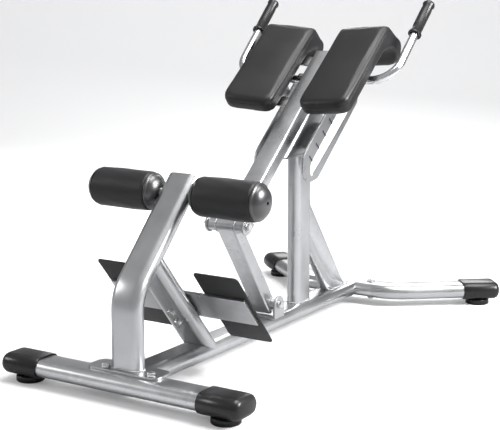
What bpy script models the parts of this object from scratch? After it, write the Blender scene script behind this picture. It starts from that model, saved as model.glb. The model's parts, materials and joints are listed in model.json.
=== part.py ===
"""Roman chair (45 degree hyperextension bench) with a sliding hip pad carriage.

Metres, +Z up, +X to the right, +Y from the foot end to the pad end.  Every
station below is measured from the axis of the rear crossbar; the empty
"bench" then moves that axis so that the world origin lies on the floor at
the middle of the machine.
"""

from math import cos, hypot, pi, radians, sin, tan

import bmesh
import bpy
from mathutils import Matrix, Vector

X = Vector((1, 0, 0))
Y = Vector((0, 1, 0))
Z = Vector((0, 0, 1))
SIDES = (("left", -1), ("right", 1))

GAP = 0.0003                 # between pieces that touch
BOLT_RADIUS = 0.006
BOLT_HOLE = BOLT_RADIUS + GAP
RUNNING_GAP = 0.0005         # between pieces that turn on each other

# Overall layout
FOOT_REAR_X = 0.305
FOOT_FRONT_X = 0.370
FOOT_FRONT_Y = 1.379
HUB_Y = 1.200
UPRIGHT_Y = 0.862
REAR_TO_MIDDLE = 0.6998      # rear crossbar axis to the middle of the whole length

# Flat-oval frame tube
TUBE_WIDTH = 0.090
TUBE_DEPTH = 0.045
TUBE_WALL = 0.0025
TUBE_ROUND = TUBE_DEPTH / 2
FRAME_Z = 0.0465             # centre of the floor-level tubes
FRAME_TOP = FRAME_Z + TUBE_ROUND

# Feet and end caps
CAP_WALL = 0.005
CAP_LENGTH = 0.118
CAP_INSIDE = 0.100
CAP_ROUND = 0.018
CAP_PAST_FOOT = 0.062        # foot centre to the closed end of the cap
FOOT_RADIUS = 0.037
FOOT_HEIGHT = FRAME_Z - TUBE_ROUND - CAP_WALL - GAP

# Mast that carries the ankle rollers
MAST_Y = 0.023
MAST_BEND_Z = 0.2625
MAST_LEAN = radians(44)
MAST_BEND_RADIUS = 0.11
MAST_UPPER_LENGTH = 0.358
BASE_PLATE = (0.220, 0.074, 0.006)
BASE_PLATE_Y = 0.024
BASE_BOLT_X = {"left": -0.056, "right": 0.085}
BASE_BOLT_Y = 0.004

# Ankle rollers
ROLLER_Y = 0.238
ROLLER_Z = MAST_BEND_Z + (ROLLER_Y - MAST_Y) / tan(MAST_LEAN)
ROLLER_INNER_X = 0.050
ROLLER_LENGTH = 0.223
ROLLER_RADIUS = 0.052
ROLLER_FLANGE = 0.025        # depth of a core's domed end
ROLLER_SLEEVE = 0.018        # radius of the core inside the foam
AXLE_RADIUS = 0.0125
CAP_DOME = 0.008            # closed end of a roller core
CAP_HOLE = 0.0045           # radius of the hole in that end
AXLE_HALF_LENGTH = ROLLER_INNER_X + ROLLER_LENGTH - CAP_DOME - 0.001

# Foot plates, square to the lower brace
PLATE_SLOPE = radians(49.6)  # below the horizontal, going forward
PLATE_TOP_Y = 0.177
PLATE_TOP_Z = 0.298
PLATE_LENGTH = 0.267
PLATE_WIDTH = 0.134
PLATE_OUTER_X = 0.221
PLATE_THICKNESS = 0.004
BAR_HEIGHT = 0.100
BAR_THICKNESS = 0.008
BAR_HALF_LENGTH = 0.212
BAR_DOWN = 0.133             # top edge of the plates to the middle of the bar
BAR_BOLT_SPACING = 0.045

# Inclined guide; s runs up the slope, n stands square to it
GUIDE_SLOPE = radians(40)
SLEEVE_TOP_N = -0.071
SLEEVE_END_S = 1.140
UPRIGHT_TOP = 0.517
COLLAR_THICKNESS = 0.005
CHEEK_X = 0.080              # middle of each cheek plate
CHEEK_THICKNESS = 0.006
CHEEK_REAR_N = -0.0715
CHEEK_FRONT_N = -0.183
CHEEK_END_S = 1.262
CHEEK_CORNER = 0.026
CHEEK_FOOT_CORNER = 0.045
TIE_S = 1.070
TIE_LENGTH = 0.110
TIE_THICKNESS = 0.006

# Swing link
PIVOT_Y = 0.655
PIVOT_Z = 0.108
HINGE_Y = 0.4756
HINGE_Z = 0.3650
STRUT_WIDTH = 0.060
STRUT_DEPTH = 0.040
STRUT_WALL = 0.003
STRUT_TAIL = 0.024
PIVOT_EAR_INSIDE = 0.0515
HINGE_EAR_INSIDE = 0.0563
EAR_THICKNESS = 0.006
PIVOT_SLEEVE_RADIUS = 0.015
HINGE_SLEEVE_RADIUS = 0.0195
PIN_RADIUS = 0.006
INDEX_STEP = radians(5.5)    # link angle between two index holes
INDEX_PLACES = (-1, 0, 1, 2)  # steps down from the rest position

# Carriage beam and what it carries
BEAM_WIDTH = 0.060
BEAM_DEPTH = 0.040
BEAM_TOP_N = -0.0234
BEAM_START_S = 0.628
BEAM_END_S = 1.298
GUIDE_BAR_WIDTH = 0.025
GUIDE_BAR_DEPTH = 0.050
GUIDE_BAR_N = -0.115
GUIDE_BAR_START_S = 1.092
RISER_S = 1.271
PAD_SLOPE = radians(38.5)
PAD_TILT = radians(5.5)
PAD_X = 0.1255
PAD_Y = 0.8878
PAD_Z = 0.7889
PAD_WIDTH = 0.166
PAD_LENGTH = 0.348
PAD_THICKNESS = 0.050
PAD_PLATE = (0.104, 0.252, 0.004)
PAD_PLATE_SHIFT = -0.028      # of the plate's middle, down the pad
ARM_WIDTH = 0.040
ARM_THICKNESS = 0.005
ARM_REACH = 0.175
ARM_STATIONS = (("lower", -0.105), ("upper", 0.075))

# Handles
HANDLE_RADIUS = 0.0125
HANDLE_WALL = 0.002
HANDLE_X = 0.268
HANDLE_S = 1.192
HANDLE_END_S = 1.503
HANDLE_BEND = 0.070
HANDLE_ROOT_N = -0.0472
HANDLE_CORNER_N = -0.029
HANDLE_END_N = -0.014
GRIP_LENGTH = 0.128
GRIP_WALL = 0.003

# Index plunger on the left cheek plate
INDEX_S = 1.155
INDEX_N = -0.102
TAB_X = -0.0865
TAB_THICKNESS = 0.004
TAB_WIDTH = 0.040
HOUSING_LENGTH = 0.030
HOUSING_RADIUS = 0.011
PLUNGER_TRAVEL = 0.012
KNOB_RADIUS = 0.016
KNOB_LENGTH = 0.026

# Front stabiliser
BRACE_FOOT_Y = 1.078
BRACE_LEAN = radians(37.5)
HUB_HALF_LENGTH = 0.095
ARM_BEND_X = 0.150
ARM_BEND_RADIUS = 0.12
SPIGOT_LENGTH = 0.045
HUB_BOLT_X = 0.076

FINISHES = {
    "silver": ((0.62, 0.63, 0.64), 0.30, 0.9),
    "zinc": ((0.55, 0.56, 0.57), 0.25, 1.0),
    "dark_plate": ((0.035, 0.036, 0.038), 0.45, 0.3),
    "vinyl": ((0.018, 0.018, 0.020), 0.42, 0.0),
    "foam": ((0.022, 0.022, 0.024), 0.55, 0.0),
    "rubber": ((0.014, 0.014, 0.015), 0.60, 0.0),
    "plastic": ((0.016, 0.016, 0.018), 0.35, 0.0),
}
PIVOTS = {}


# ---------------------------------------------------------------- scene set-up

def clear_scene():
    """Remove every object that is in the scene."""
    for item in list(bpy.data.objects):
        bpy.data.objects.remove(item, do_unlink=True)


def make_pivot(name, point, parent=None):
    """Add an empty on a joint's axis, at a point given in bench stations."""
    empty = bpy.data.objects.new(name, None)
    bpy.context.collection.objects.link(empty)
    origin = PIVOTS[parent][1] if parent else Vector()
    empty.location = point - origin
    empty.parent = PIVOTS[parent][0] if parent else None
    PIVOTS[name] = (empty, point.copy())
    return empty


def make_material(name, finish):
    """Return a Principled material for one object."""
    colour, roughness, metallic = FINISHES[finish]
    material = bpy.data.materials.new(name)
    material.use_nodes = True
    shader = material.node_tree.nodes["Principled BSDF"]
    shader.inputs["Base Color"].default_value = (*colour, 1)
    shader.inputs["Roughness"].default_value = roughness
    shader.inputs["Metallic"].default_value = metallic
    material.diffuse_color = (*colour, 1)
    return material


def add_object(name, bm, finish, pivot="bench"):
    """Turn a bmesh in bench stations into an object that hangs on a pivot."""
    empty, origin = PIVOTS[pivot]
    bmesh.ops.translate(bm, vec=-origin, verts=bm.verts)
    mesh = bpy.data.meshes.new(name)
    bm.to_mesh(mesh)
    bm.free()
    mesh.shade_smooth()
    mesh.set_sharp_from_angle(angle=radians(34))
    item = bpy.data.objects.new(name, mesh)
    bpy.context.collection.objects.link(item)
    item.parent = empty
    item.data.materials.append(make_material(name + "_finish", finish))
    return item


def cut_with(target, bm, pivot="bench"):
    """Subtract a closed shape from an object with a Boolean modifier."""
    number = len(target.modifiers) + 1
    cutter = add_object(f"{target.name}_cutter_{number}", bm, "zinc", pivot)
    cutter.hide_render = True
    cutter.display_type = "WIRE"
    modifier = target.modifiers.new(f"cut_{number}", "BOOLEAN")
    modifier.operation = "DIFFERENCE"
    modifier.solver = "EXACT"
    modifier.object = cutter


# ------------------------------------------------------------- shape functions

def loft(rings, closed=False):
    """Skin equal rings of points; an open skin gets a flat face at both ends."""
    bm = bmesh.new()
    loops = [[bm.verts.new(point) for point in ring] for ring in rings]
    pairs = list(zip(loops, loops[1:]))
    if closed:
        pairs.append((loops[-1], loops[0]))
    for near, far in pairs:
        for i in range(len(near)):
            j = (i + 1) % len(near)
            bm.faces.new((near[i], near[j], far[j], far[i]))
    if not closed:
        bm.faces.new(list(reversed(loops[0])))
        bm.faces.new(loops[-1])
    bmesh.ops.recalc_face_normals(bm, faces=bm.faces)
    return bm


def rounded_rectangle(width, depth, radius, steps=6):
    """Outline of (u, v) points: u across the width, v through the depth."""
    points = []
    corners = ((1, -1, -90), (1, 1, 0), (-1, 1, 90), (-1, -1, 180))
    flat_u = width / 2 - radius
    flat_v = depth / 2 - radius
    for side_u, side_v, first in corners:
        for step in range(steps + 1):
            angle = radians(first + 90 * step / steps)
            u = side_u * flat_u + radius * cos(angle)
            v = side_v * flat_v + radius * sin(angle)
            if points and hypot(u - points[-1][0], v - points[-1][1]) < 1e-6:
                continue
            points.append((u, v))
    if hypot(points[0][0] - points[-1][0], points[0][1] - points[-1][1]) < 1e-6:
        points.pop()
    return points


def flat_oval(inset=0.0):
    """Outline of the frame tube, moved inwards by an inset."""
    depth = TUBE_DEPTH - 2 * inset
    return rounded_rectangle(TUBE_WIDTH - 2 * inset, depth, depth / 2, 5)


def circle(radius, sides=24):
    """Round outline of (u, v) points."""
    turns = [2 * pi * i / sides for i in range(sides)]
    return [(radius * cos(a), radius * sin(a)) for a in turns]


def turned(outline):
    """Swap an outline's two directions, so the width runs in the bend plane."""
    return [(v, u) for u, v in outline]


def bent_path(corners, radius, steps=8):
    """Polyline through the corners with each inner corner rounded to a radius."""
    path = [corners[0]]
    for before, corner, after in zip(corners, corners[1:], corners[2:]):
        inward = (corner - before).normalized()
        outward = (after - corner).normalized()
        angle = inward.angle(outward)
        start = corner - inward * radius * tan(angle / 2)
        inside = (outward - inward * inward.dot(outward)).normalized()
        centre = start + inside * radius
        for step in range(steps + 1):
            turn = angle * step / steps
            path.append(centre + (inward * sin(turn) - inside * cos(turn)) * radius)
    path.append(corners[-1])
    return path


def flat_end(point, normal):
    """Cut an end on a plane."""
    def cut(q, along):
        return q + along * ((point - q).dot(normal) / along.dot(normal))
    return cut


def swept_rings(path, outline, binormal, start=None, end=None):
    """Carry an outline along a path; start and end are cuts, square if left out."""
    rings = []
    last = len(path) - 1
    for i, point in enumerate(path):
        back = (point - path[i - 1]).normalized() if i else (path[1] - point).normalized()
        ahead = (path[i + 1] - point).normalized() if i < last else back
        cut = flat_end(point, (back + ahead).normalized())
        if i == 0 and start:
            cut = start
        if i == last and end:
            cut = end
        side = binormal.cross(back)
        rings.append([cut(point + binormal * u + side * v, back) for u, v in outline])
    return rings


def hollow(path, outer, inner, binormal, start=None, end=None):
    """Tube with open ends."""
    outside = swept_rings(path, outer, binormal, start, end)
    inside = swept_rings(path, inner, binormal, start, end)
    return loft(outside + inside[::-1], closed=True)


def frame_tube(path, binormal, wide_in_plane=False, start=None, end=None):
    """Flat-oval frame tube, its width along the binormal or in the bend plane."""
    outer = flat_oval()
    inner = flat_oval(TUBE_WALL)
    if wide_in_plane:
        outer = turned(outer)
        inner = turned(inner)
    return hollow(path, outer, inner, binormal, start, end)


def round_rings(profile, centre, axis, sides=24):
    """Rings about an axis for a profile of (distance along, radius) points."""
    u = axis.orthogonal().normalized()
    v = axis.cross(u)
    rings = []
    for along, radius in profile:
        base = centre + axis * along
        rings.append([base + u * a + v * b for a, b in circle(radius, sides)])
    return rings


def rod(centre, axis, low, high, radius, sides=24):
    """Solid round bar between two distances along its axis."""
    return loft(round_rings([(low, radius), (high, radius)], centre, axis, sides))


def bushing(centre, axis, low, high, radius, bore, sides=24):
    """Round tube between two distances along its axis."""
    profile = [(low, radius), (high, radius), (high, bore), (low, bore)]
    return loft(round_rings(profile, centre, axis, sides), closed=True)


def slab(points, thickness):
    """Plate with the given outline, extruded by a vector."""
    return loft([points, [p + thickness for p in points]])


def rounded_outline(corners, radii, steps=4):
    """Closed outline in space with every corner rounded, by one radius or one for each."""
    points = []
    count = len(corners)
    if not isinstance(radii, tuple):
        radii = (radii,) * count
    for i, corner in enumerate(corners):
        radius = radii[i]
        inward = (corner - corners[i - 1]).normalized()
        outward = (corners[(i + 1) % count] - corner).normalized()
        angle = inward.angle(outward)
        start = corner - inward * radius * tan(angle / 2)
        inside = (outward - inward * inward.dot(outward)).normalized()
        centre = start + inside * radius
        for step in range(steps + 1):
            turn = angle * step / steps
            points.append(centre + (inward * sin(turn) - inside * cos(turn)) * radius)
    return points


def block(centre, half_u, half_v, half_w):
    """Cuboid from a centre and three half-extent vectors."""
    ring = [half_u + half_v, half_u - half_v, -half_u - half_v, -half_u + half_v]
    return loft([[centre - half_w + p for p in ring], [centre + half_w + p for p in ring]])


def hexagon_ring(base, u, v, radius):
    """Twelve points round a hexagon: its corners and the middles of its sides."""
    ring = []
    for i in range(12):
        reach = radius if i % 2 == 0 else radius * cos(pi / 6)
        angle = i * pi / 6
        ring.append(base + u * reach * cos(angle) + v * reach * sin(angle))
    return ring


def bolt(head_seat, axis, grip, shank_radius, nut=True, tail=0.004):
    """Hexagon bolt with a washer under its head, pointing along the axis.

    The head's washer rests at head_seat and the nut's washer a grip further on.
    """
    u = axis.orthogonal().normalized()
    v = axis.cross(u)
    head = shank_radius * 1.85
    washer = shank_radius * 2.1
    washer_depth = shank_radius * 0.35
    head_depth = shank_radius * 1.2
    rings = []

    def add_round(along, radius):
        ring = [(radius * cos(i * pi / 6), radius * sin(i * pi / 6)) for i in range(12)]
        base = head_seat + axis * along
        rings.append([base + u * a + v * b for a, b in ring])

    def add_hex(along, radius):
        rings.append(hexagon_ring(head_seat + axis * along, u, v, radius))

    add_hex(-washer_depth - head_depth, head * 0.9)
    add_hex(-washer_depth - head_depth * 0.85, head)
    add_hex(-washer_depth, head)
    add_round(-washer_depth, washer)
    add_round(-GAP, washer)
    add_round(-GAP, shank_radius)
    if nut:
        far = grip + GAP
        add_round(far, shank_radius)
        add_round(far, washer)
        add_round(far + washer_depth, washer)
        add_hex(far + washer_depth, head)
        add_hex(far + washer_depth + head_depth, head)
        add_round(far + washer_depth + head_depth, shank_radius)
        add_round(far + washer_depth + head_depth + tail, shank_radius)
    else:
        add_round(grip, shank_radius)
    return loft(rings)


def drill(target, centre, axis, low, high, radius, pivot="bench"):
    """Drill a round hole between two distances along an axis."""
    cut_with(target, rod(centre, axis, low, high, radius), pivot)


def notch(target, path, binormal, wide_in_plane=False):
    """Cut a tube's end to the outside of the frame tube that it is welded to."""
    outline = flat_oval(-GAP)
    if wide_in_plane:
        outline = turned(outline)
    cut_with(target, loft(swept_rings(path, outline, binormal)))


# ---------------------------------------------------------------- local frames

def on_slope(s, n, x=0.0):
    """Point at a distance s up the guide's slope and n square to it."""
    y = s * cos(GUIDE_SLOPE) - n * sin(GUIDE_SLOPE)
    z = s * sin(GUIDE_SLOPE) + n * cos(GUIDE_SLOPE)
    return Vector((x, y, z))


SLOPE_UP = Vector((0, cos(GUIDE_SLOPE), sin(GUIDE_SLOPE)))
SLOPE_OUT = Vector((0, -sin(GUIDE_SLOPE), cos(GUIDE_SLOPE)))
PLATE_DOWN = Vector((0, cos(PLATE_SLOPE), -sin(PLATE_SLOPE)))
PLATE_REAR = Vector((0, -sin(PLATE_SLOPE), -cos(PLATE_SLOPE)))
PLATE_EDGE = Vector((0, PLATE_TOP_Y, PLATE_TOP_Z))
PIVOT = Vector((0, PIVOT_Y, PIVOT_Z))
HINGE = Vector((0, HINGE_Y, HINGE_Z))
AXLE = Vector((0, ROLLER_Y, ROLLER_Z))
MAST_BEND = Vector((0, MAST_Y, MAST_BEND_Z))
MAST_UP = Vector((0, sin(MAST_LEAN), cos(MAST_LEAN)))
MAST_FRONT = Vector((0, cos(MAST_LEAN), -sin(MAST_LEAN)))


# ------------------------------------------------------------------- the frame

def end_cap(name, foot, outward):
    """Cup-shaped cap over a tube end, above its foot."""
    closed = foot + outward * CAP_PAST_FOOT + Z * FRAME_Z
    lip = closed - outward * CAP_LENGTH
    floor = lip + outward * CAP_INSIDE
    side = Z.cross(outward)
    rings = []

    def add(point, grow):
        depth = TUBE_DEPTH + 2 * grow
        outline = rounded_rectangle(TUBE_WIDTH + 2 * grow, depth, depth / 2, 5)
        rings.append([point + side * u + Z * v for u, v in outline])

    add(floor, GAP)
    add(lip, GAP)
    add(lip, CAP_WALL - 0.0012)
    add(lip + outward * 0.0015, CAP_WALL)
    for step in range(5):
        angle = step * pi / 10
        drop = CAP_ROUND * (1 - cos(angle))
        add(closed - outward * CAP_ROUND * (1 - sin(angle)), CAP_WALL - drop)
    return add_object(name, loft(rings), "rubber")


def foot_disc(name, centre):
    """Round rubber foot under an end cap."""
    profile = [
        (0, FOOT_RADIUS - 0.002),
        (0.002, FOOT_RADIUS),
        (FOOT_HEIGHT - 0.004, FOOT_RADIUS),
        (FOOT_HEIGHT, FOOT_RADIUS - 0.005),
    ]
    add_object(name, loft(round_rings(profile, centre, Z, 28)), "rubber")


def build_rear_foot():
    """Crossbar with its caps and feet, and the base plate bolted on top."""
    half = FOOT_REAR_X + CAP_PAST_FOOT - (CAP_LENGTH - CAP_INSIDE) - GAP
    ends = [Vector((-half, 0, FRAME_Z)), Vector((half, 0, FRAME_Z))]
    crossbar = add_object("rear_crossbar", frame_tube(ends, Z, True), "silver")
    for name, side in SIDES:
        foot = Vector((side * FOOT_REAR_X, 0, 0))
        end_cap(f"rear_cap_{name}", foot, X * side)
        foot_disc(f"foot_rear_{name}", foot)

    length, width, thickness = BASE_PLATE
    low = FRAME_TOP + GAP
    corners = [
        Vector((side_x * length / 2, BASE_PLATE_Y + side_y * width / 2, low))
        for side_x, side_y in ((-1, -1), (1, -1), (1, 1), (-1, 1))
    ]
    plate = add_object("mast_base_plate", slab(rounded_outline(corners, 0.024), Z * thickness), "silver")
    seat = low + thickness
    for name, across in BASE_BOLT_X.items():
        hole = Vector((across, BASE_BOLT_Y, 0))
        drill(plate, hole, Z, FRAME_TOP - 0.01, seat + 0.01, BOLT_HOLE)
        drill(crossbar, hole, Z, FRAME_TOP - 0.01, seat + 0.01, BOLT_HOLE)
        bottom = hole + Z * (seat + GAP)
        add_object(f"base_bolt_{name}", bolt(bottom, -Z, 0.018, BOLT_RADIUS, nut=False), "zinc")


def mast_path():
    """Middle line of the bent mast."""
    foot = Vector((0, MAST_Y, FRAME_TOP + BASE_PLATE[2] + 2 * GAP))
    head = MAST_BEND + MAST_UP * MAST_UPPER_LENGTH
    return bent_path([foot, MAST_BEND, head], MAST_BEND_RADIUS)


def build_mast():
    """Bent mast, with the hole for the roller axle."""
    mast = add_object("mast", frame_tube(mast_path(), X), "silver")
    drill(mast, AXLE, X, -0.06, 0.06, AXLE_RADIUS + GAP)


def build_rail():
    """Long rail between the rear crossbar and the front hub."""
    ends = [Vector((0, 0, FRAME_Z)), Vector((0, HUB_Y, FRAME_Z))]
    rail = add_object("main_rail", frame_tube(ends, X), "silver")
    for end in ends:
        notch(rail, [end - X * TUBE_WIDTH, end + X * TUBE_WIDTH], Z, True)


def build_foot_rest():
    """Lower brace, the bar bolted to it and the two foot plates."""
    axis = PLATE_EDGE + PLATE_REAR * (BAR_THICKNESS + GAP + TUBE_ROUND)
    reach = (MAST_BEND - axis).dot(MAST_FRONT) / PLATE_DOWN.dot(MAST_FRONT)
    top = axis + PLATE_DOWN * reach
    low = axis + PLATE_DOWN * ((FRAME_Z - axis.z) / PLATE_DOWN.z)
    brace_shape = frame_tube([low, top], X, end=flat_end(MAST_BEND, MAST_FRONT))
    brace = add_object("lower_brace", brace_shape, "silver")
    notch(brace, mast_path(), X)
    rail_piece = Vector((0, low.y, FRAME_Z))
    notch(brace, [rail_piece - Y * TUBE_WIDTH, rail_piece + Y * TUBE_WIDTH], X)

    middle = PLATE_EDGE + PLATE_DOWN * BAR_DOWN + PLATE_REAR * (GAP + (BAR_THICKNESS - 2 * GAP) / 2)
    bar_shape = block(
        middle, X * BAR_HALF_LENGTH, PLATE_DOWN * BAR_HEIGHT / 2, PLATE_REAR * (BAR_THICKNESS - 2 * GAP) / 2
    )
    bar = add_object("footplate_bar", bar_shape, "silver")
    for name, side in (("upper", -1), ("lower", 1)):
        seat = middle + PLATE_DOWN * side * BAR_BOLT_SPACING / 2
        seat += PLATE_REAR * (BAR_THICKNESS / 2 + TUBE_DEPTH + GAP)
        for piece in (brace, bar):
            drill(piece, seat, -PLATE_REAR, -0.02, 0.09, BOLT_HOLE)
        grip = TUBE_DEPTH + BAR_THICKNESS + GAP
        add_object(f"footplate_bolt_{name}", bolt(seat, -PLATE_REAR, grip, BOLT_RADIUS), "zinc")

    for name, side in SIDES:
        outer = X * side * PLATE_OUTER_X
        inner = X * side * (PLATE_OUTER_X - PLATE_WIDTH)
        down = PLATE_DOWN * PLATE_LENGTH
        corners = [PLATE_EDGE + p for p in (inner, outer, outer + down, inner + down)]
        plate = slab(rounded_outline(corners, 0.010), -PLATE_REAR * PLATE_THICKNESS)
        add_object(f"footplate_{name}", plate, "dark_plate")


def build_rollers():
    """Fixed axle and two rollers that turn on it."""
    half = AXLE_HALF_LENGTH
    profile = [
        (-half, AXLE_RADIUS - 0.002),
        (-half + 0.002, AXLE_RADIUS),
        (half - 0.002, AXLE_RADIUS),
        (half, AXLE_RADIUS - 0.002),
    ]
    add_object("roller_axle", loft(round_rings(profile, AXLE, X)), "zinc")
    bore = AXLE_RADIUS + GAP
    length = ROLLER_LENGTH
    for name, side in SIDES:
        pivot = f"roller_{name}_axis"
        start = AXLE + X * side * ROLLER_INNER_X
        make_pivot(pivot, start + X * side * length / 2, "bench")
        dome = [(0.0012, 0.019), (0.0045, 0.029), (0.0095, 0.037), (0.0155, 0.0425), (0.0195, 0.0445)]
        dome += [(0.0200, 0.0470), (0.0225, 0.0485), (ROLLER_FLANGE, 0.0485), (ROLLER_FLANGE, ROLLER_SLEEVE)]
        core = [(0, bore), (0, bore + 0.002)] + dome
        core += [(length - a, r) for a, r in reversed(dome)]
        core += [(length, 0.010), (length, CAP_HOLE)]
        core += [(length - CAP_DOME, CAP_HOLE), (length - CAP_DOME, bore)]
        shape = loft(round_rings(core, start, X * side, 32), closed=True)
        add_object(f"roller_core_{name}", shape, "plastic", pivot)

        low = ROLLER_FLANGE + GAP
        skin = [(low, ROLLER_SLEEVE + GAP), (low, ROLLER_RADIUS - 0.006)]
        skin += [(low + 0.002, ROLLER_RADIUS - 0.002), (low + 0.007, ROLLER_RADIUS)]
        foam = skin + [(length - a, r) for a, r in reversed(skin)]
        shape = loft(round_rings(foam, start, X * side, 36), closed=True)
        add_object(f"roller_foam_{name}", shape, "foam", pivot)


def build_upright():
    """Upright with its closing plate, the inclined guide sleeve and the cheek plates."""
    foot = Vector((0, UPRIGHT_Y, FRAME_TOP + GAP))
    top = Vector((0, UPRIGHT_Y, UPRIGHT_TOP))
    outer = rounded_rectangle(TUBE_DEPTH, TUBE_WIDTH, TUBE_ROUND, 5)
    inner_depth = TUBE_DEPTH - 2 * TUBE_WALL
    inner = rounded_rectangle(inner_depth, TUBE_WIDTH - 2 * TUBE_WALL, inner_depth / 2, 5)
    sleeve_rear = (UPRIGHT_TOP + COLLAR_THICKNESS - SLEEVE_TOP_N * cos(GUIDE_SLOPE)) / sin(GUIDE_SLOPE)
    collar_rear = on_slope(sleeve_rear, SLEEVE_TOP_N).y - 0.004
    collar_front = UPRIGHT_Y + TUBE_WIDTH / 2 + 0.003
    collar_length = collar_front - collar_rear
    collar_middle = (collar_front + collar_rear) / 2 - UPRIGHT_Y
    collar_width = TUBE_DEPTH + 0.006
    collar = rounded_rectangle(collar_width, collar_length, collar_width / 2, 5)
    collar = [(u, v + collar_middle) for u, v in collar]

    def ring(outline, z):
        return [Vector((u, UPRIGHT_Y + v, z)) for u, v in outline]

    rings = [
        ring(inner, top.z),
        ring(inner, foot.z),
        ring(outer, foot.z),
        ring(outer, top.z),
        ring(collar, top.z),
        ring(collar, top.z + COLLAR_THICKNESS),
    ]
    add_object("upright", loft(rings), "silver")

    seat = UPRIGHT_TOP + COLLAR_THICKNESS + GAP
    middle_n = SLEEVE_TOP_N - TUBE_WIDTH / 2
    start_s = (seat - middle_n * cos(GUIDE_SLOPE)) / sin(GUIDE_SLOPE)
    path = [on_slope(start_s, middle_n), on_slope(SLEEVE_END_S, middle_n)]
    level = flat_end(Vector((0, 0, seat)), Z)
    add_object("guide_sleeve", frame_tube(path, X, True, level), "silver")


def cheek_outline(x):
    """Outline of a cheek plate: a vertical rear edge at the foot, then the slope."""
    rear_top = on_slope(CHEEK_END_S, CHEEK_REAR_N, x)
    rear_corner = on_slope(0.9080, CHEEK_REAR_N, x)
    foot_rear = Vector((x, rear_corner.y - 0.003, 0.4425))
    foot_front = on_slope(0.9260, CHEEK_FRONT_N, x)
    front_top = on_slope(CHEEK_END_S, CHEEK_FRONT_N, x)
    corners = [rear_top, rear_corner, foot_rear, foot_front, front_top]
    foot = CHEEK_FOOT_CORNER
    return rounded_outline(corners, (CHEEK_CORNER, foot, foot, foot, CHEEK_CORNER), 6)


def build_cheeks():
    """Cheek plates beside the sleeve, the tie between them and the index holes."""
    for name, side in SIDES:
        x = side * CHEEK_X - CHEEK_THICKNESS / 2
        plate = slab(cheek_outline(x), X * CHEEK_THICKNESS)
        cheek = add_object(f"cheek_plate_{name}", plate, "silver")
        if side < 0:
            for place in INDEX_PLACES:
                hole = on_slope(INDEX_S, INDEX_N) + carriage_shift(place * INDEX_STEP)
                drill(cheek, hole, X, -CHEEK_X - 0.01, -CHEEK_X + 0.01, PIN_RADIUS + 2 * GAP)
    reach = CHEEK_X - CHEEK_THICKNESS / 2 - GAP
    under = SLEEVE_TOP_N - TUBE_WIDTH - GAP - TIE_THICKNESS / 2
    tie = block(on_slope(TIE_S, under), X * reach, SLOPE_UP * TIE_LENGTH / 2, SLOPE_OUT * TIE_THICKNESS / 2)
    add_object("cheek_tie", tie, "silver")


def carriage_shift(turn):
    """Move of the carriage when the swing link turns rearwards by an angle."""
    arm = HINGE - PIVOT
    return Matrix.Rotation(turn, 3, "X") @ arm - arm


def build_front():
    """Front brace, hub, curved arms, their bolts, caps and feet."""
    low = Vector((0, BRACE_FOOT_Y, FRAME_TOP + GAP))
    lean = Vector((0, -sin(BRACE_LEAN), cos(BRACE_LEAN)))
    path = [low, low + lean * (BRACE_FOOT_Y - UPRIGHT_Y) / sin(BRACE_LEAN)]
    brace = add_object("front_brace", frame_tube(path, X, True, flat_end(low, Z)), "silver")
    notch(brace, [Vector((0, UPRIGHT_Y, 0)), Vector((0, UPRIGHT_Y, UPRIGHT_TOP))], X, True)

    hub_ends = [Vector((side * HUB_HALF_LENGTH, HUB_Y, FRAME_Z)) for side in (-1, 1)]
    hub = add_object("front_hub", frame_tube(hub_ends, Z, True), "silver")
    for name, side in SIDES:
        build_front_arm(name, side, hub)


def build_front_arm(name, side, hub):
    """One curved arm with its spigot in the hub, its bolt, cap and foot."""
    foot = Vector((side * FOOT_FRONT_X, FOOT_FRONT_Y, 0))
    corner = Vector((side * ARM_BEND_X, HUB_Y, 0))
    outward = (foot - corner).normalized()
    seam = Vector((side * (HUB_HALF_LENGTH + GAP), HUB_Y, 0))
    end = foot + outward * (CAP_PAST_FOOT - (CAP_LENGTH - CAP_INSIDE) - GAP)
    path = [p + Z * FRAME_Z for p in bent_path([seam, corner, end], ARM_BEND_RADIUS)]
    tip = path[0] - X * side * SPIGOT_LENGTH
    spigot = turned(flat_oval(TUBE_WALL + GAP))
    bore = turned(flat_oval(2 * TUBE_WALL + GAP))
    spigot_rings = swept_rings([tip, path[0]], spigot, Z)
    outside = spigot_rings + swept_rings(path, turned(flat_oval()), Z)
    inside = swept_rings([tip] + path, bore, Z)
    arm = add_object(f"front_arm_{name}", loft(outside + inside[::-1], closed=True), "silver")

    hole = Vector((side * HUB_BOLT_X, HUB_Y, FRAME_Z))
    for piece in (hub, arm):
        drill(piece, hole, Z, -0.04, 0.04, BOLT_HOLE)
    seat = hole + Z * (TUBE_ROUND + GAP)
    add_object(f"hub_bolt_{name}", bolt(seat, -Z, TUBE_DEPTH + GAP, BOLT_RADIUS, tail=0.002), "zinc")
    end_cap(f"front_cap_{name}", foot, outward)
    foot_disc(f"foot_front_{name}", foot)


# -------------------------------------------------------------- the swing link

def forked_bracket(name, hub, back, finish, inside, web, height, pivot):
    """U-shaped bracket: two rounded ears about a hub and a web behind them.

    back points from the hub to the web, at the distance web from the hub.
    """
    across = X.cross(back)
    outline = []
    for step in range(13):
        angle = -pi / 2 + pi * step / 12
        outline.append(hub + (across * sin(angle) - back * cos(angle)) * height)
    outline.append(hub + across * height + back * (web + EAR_THICKNESS))
    outline.append(hub - across * height + back * (web + EAR_THICKNESS))
    outside = inside + EAR_THICKNESS
    shape = slab([p - X * outside for p in outline], X * 2 * outside)
    bracket = add_object(name, shape, finish, pivot)
    depth = web + height + 0.02
    middle = hub + back * (web - depth / 2)
    hollow_shape = block(middle, X * inside, across * (height + 0.02), back * depth / 2)
    cut_with(bracket, hollow_shape, pivot)
    drill(bracket, hub, X, -outside - 0.01, outside + 0.01, PIN_RADIUS + GAP, pivot)
    return bracket


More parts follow.
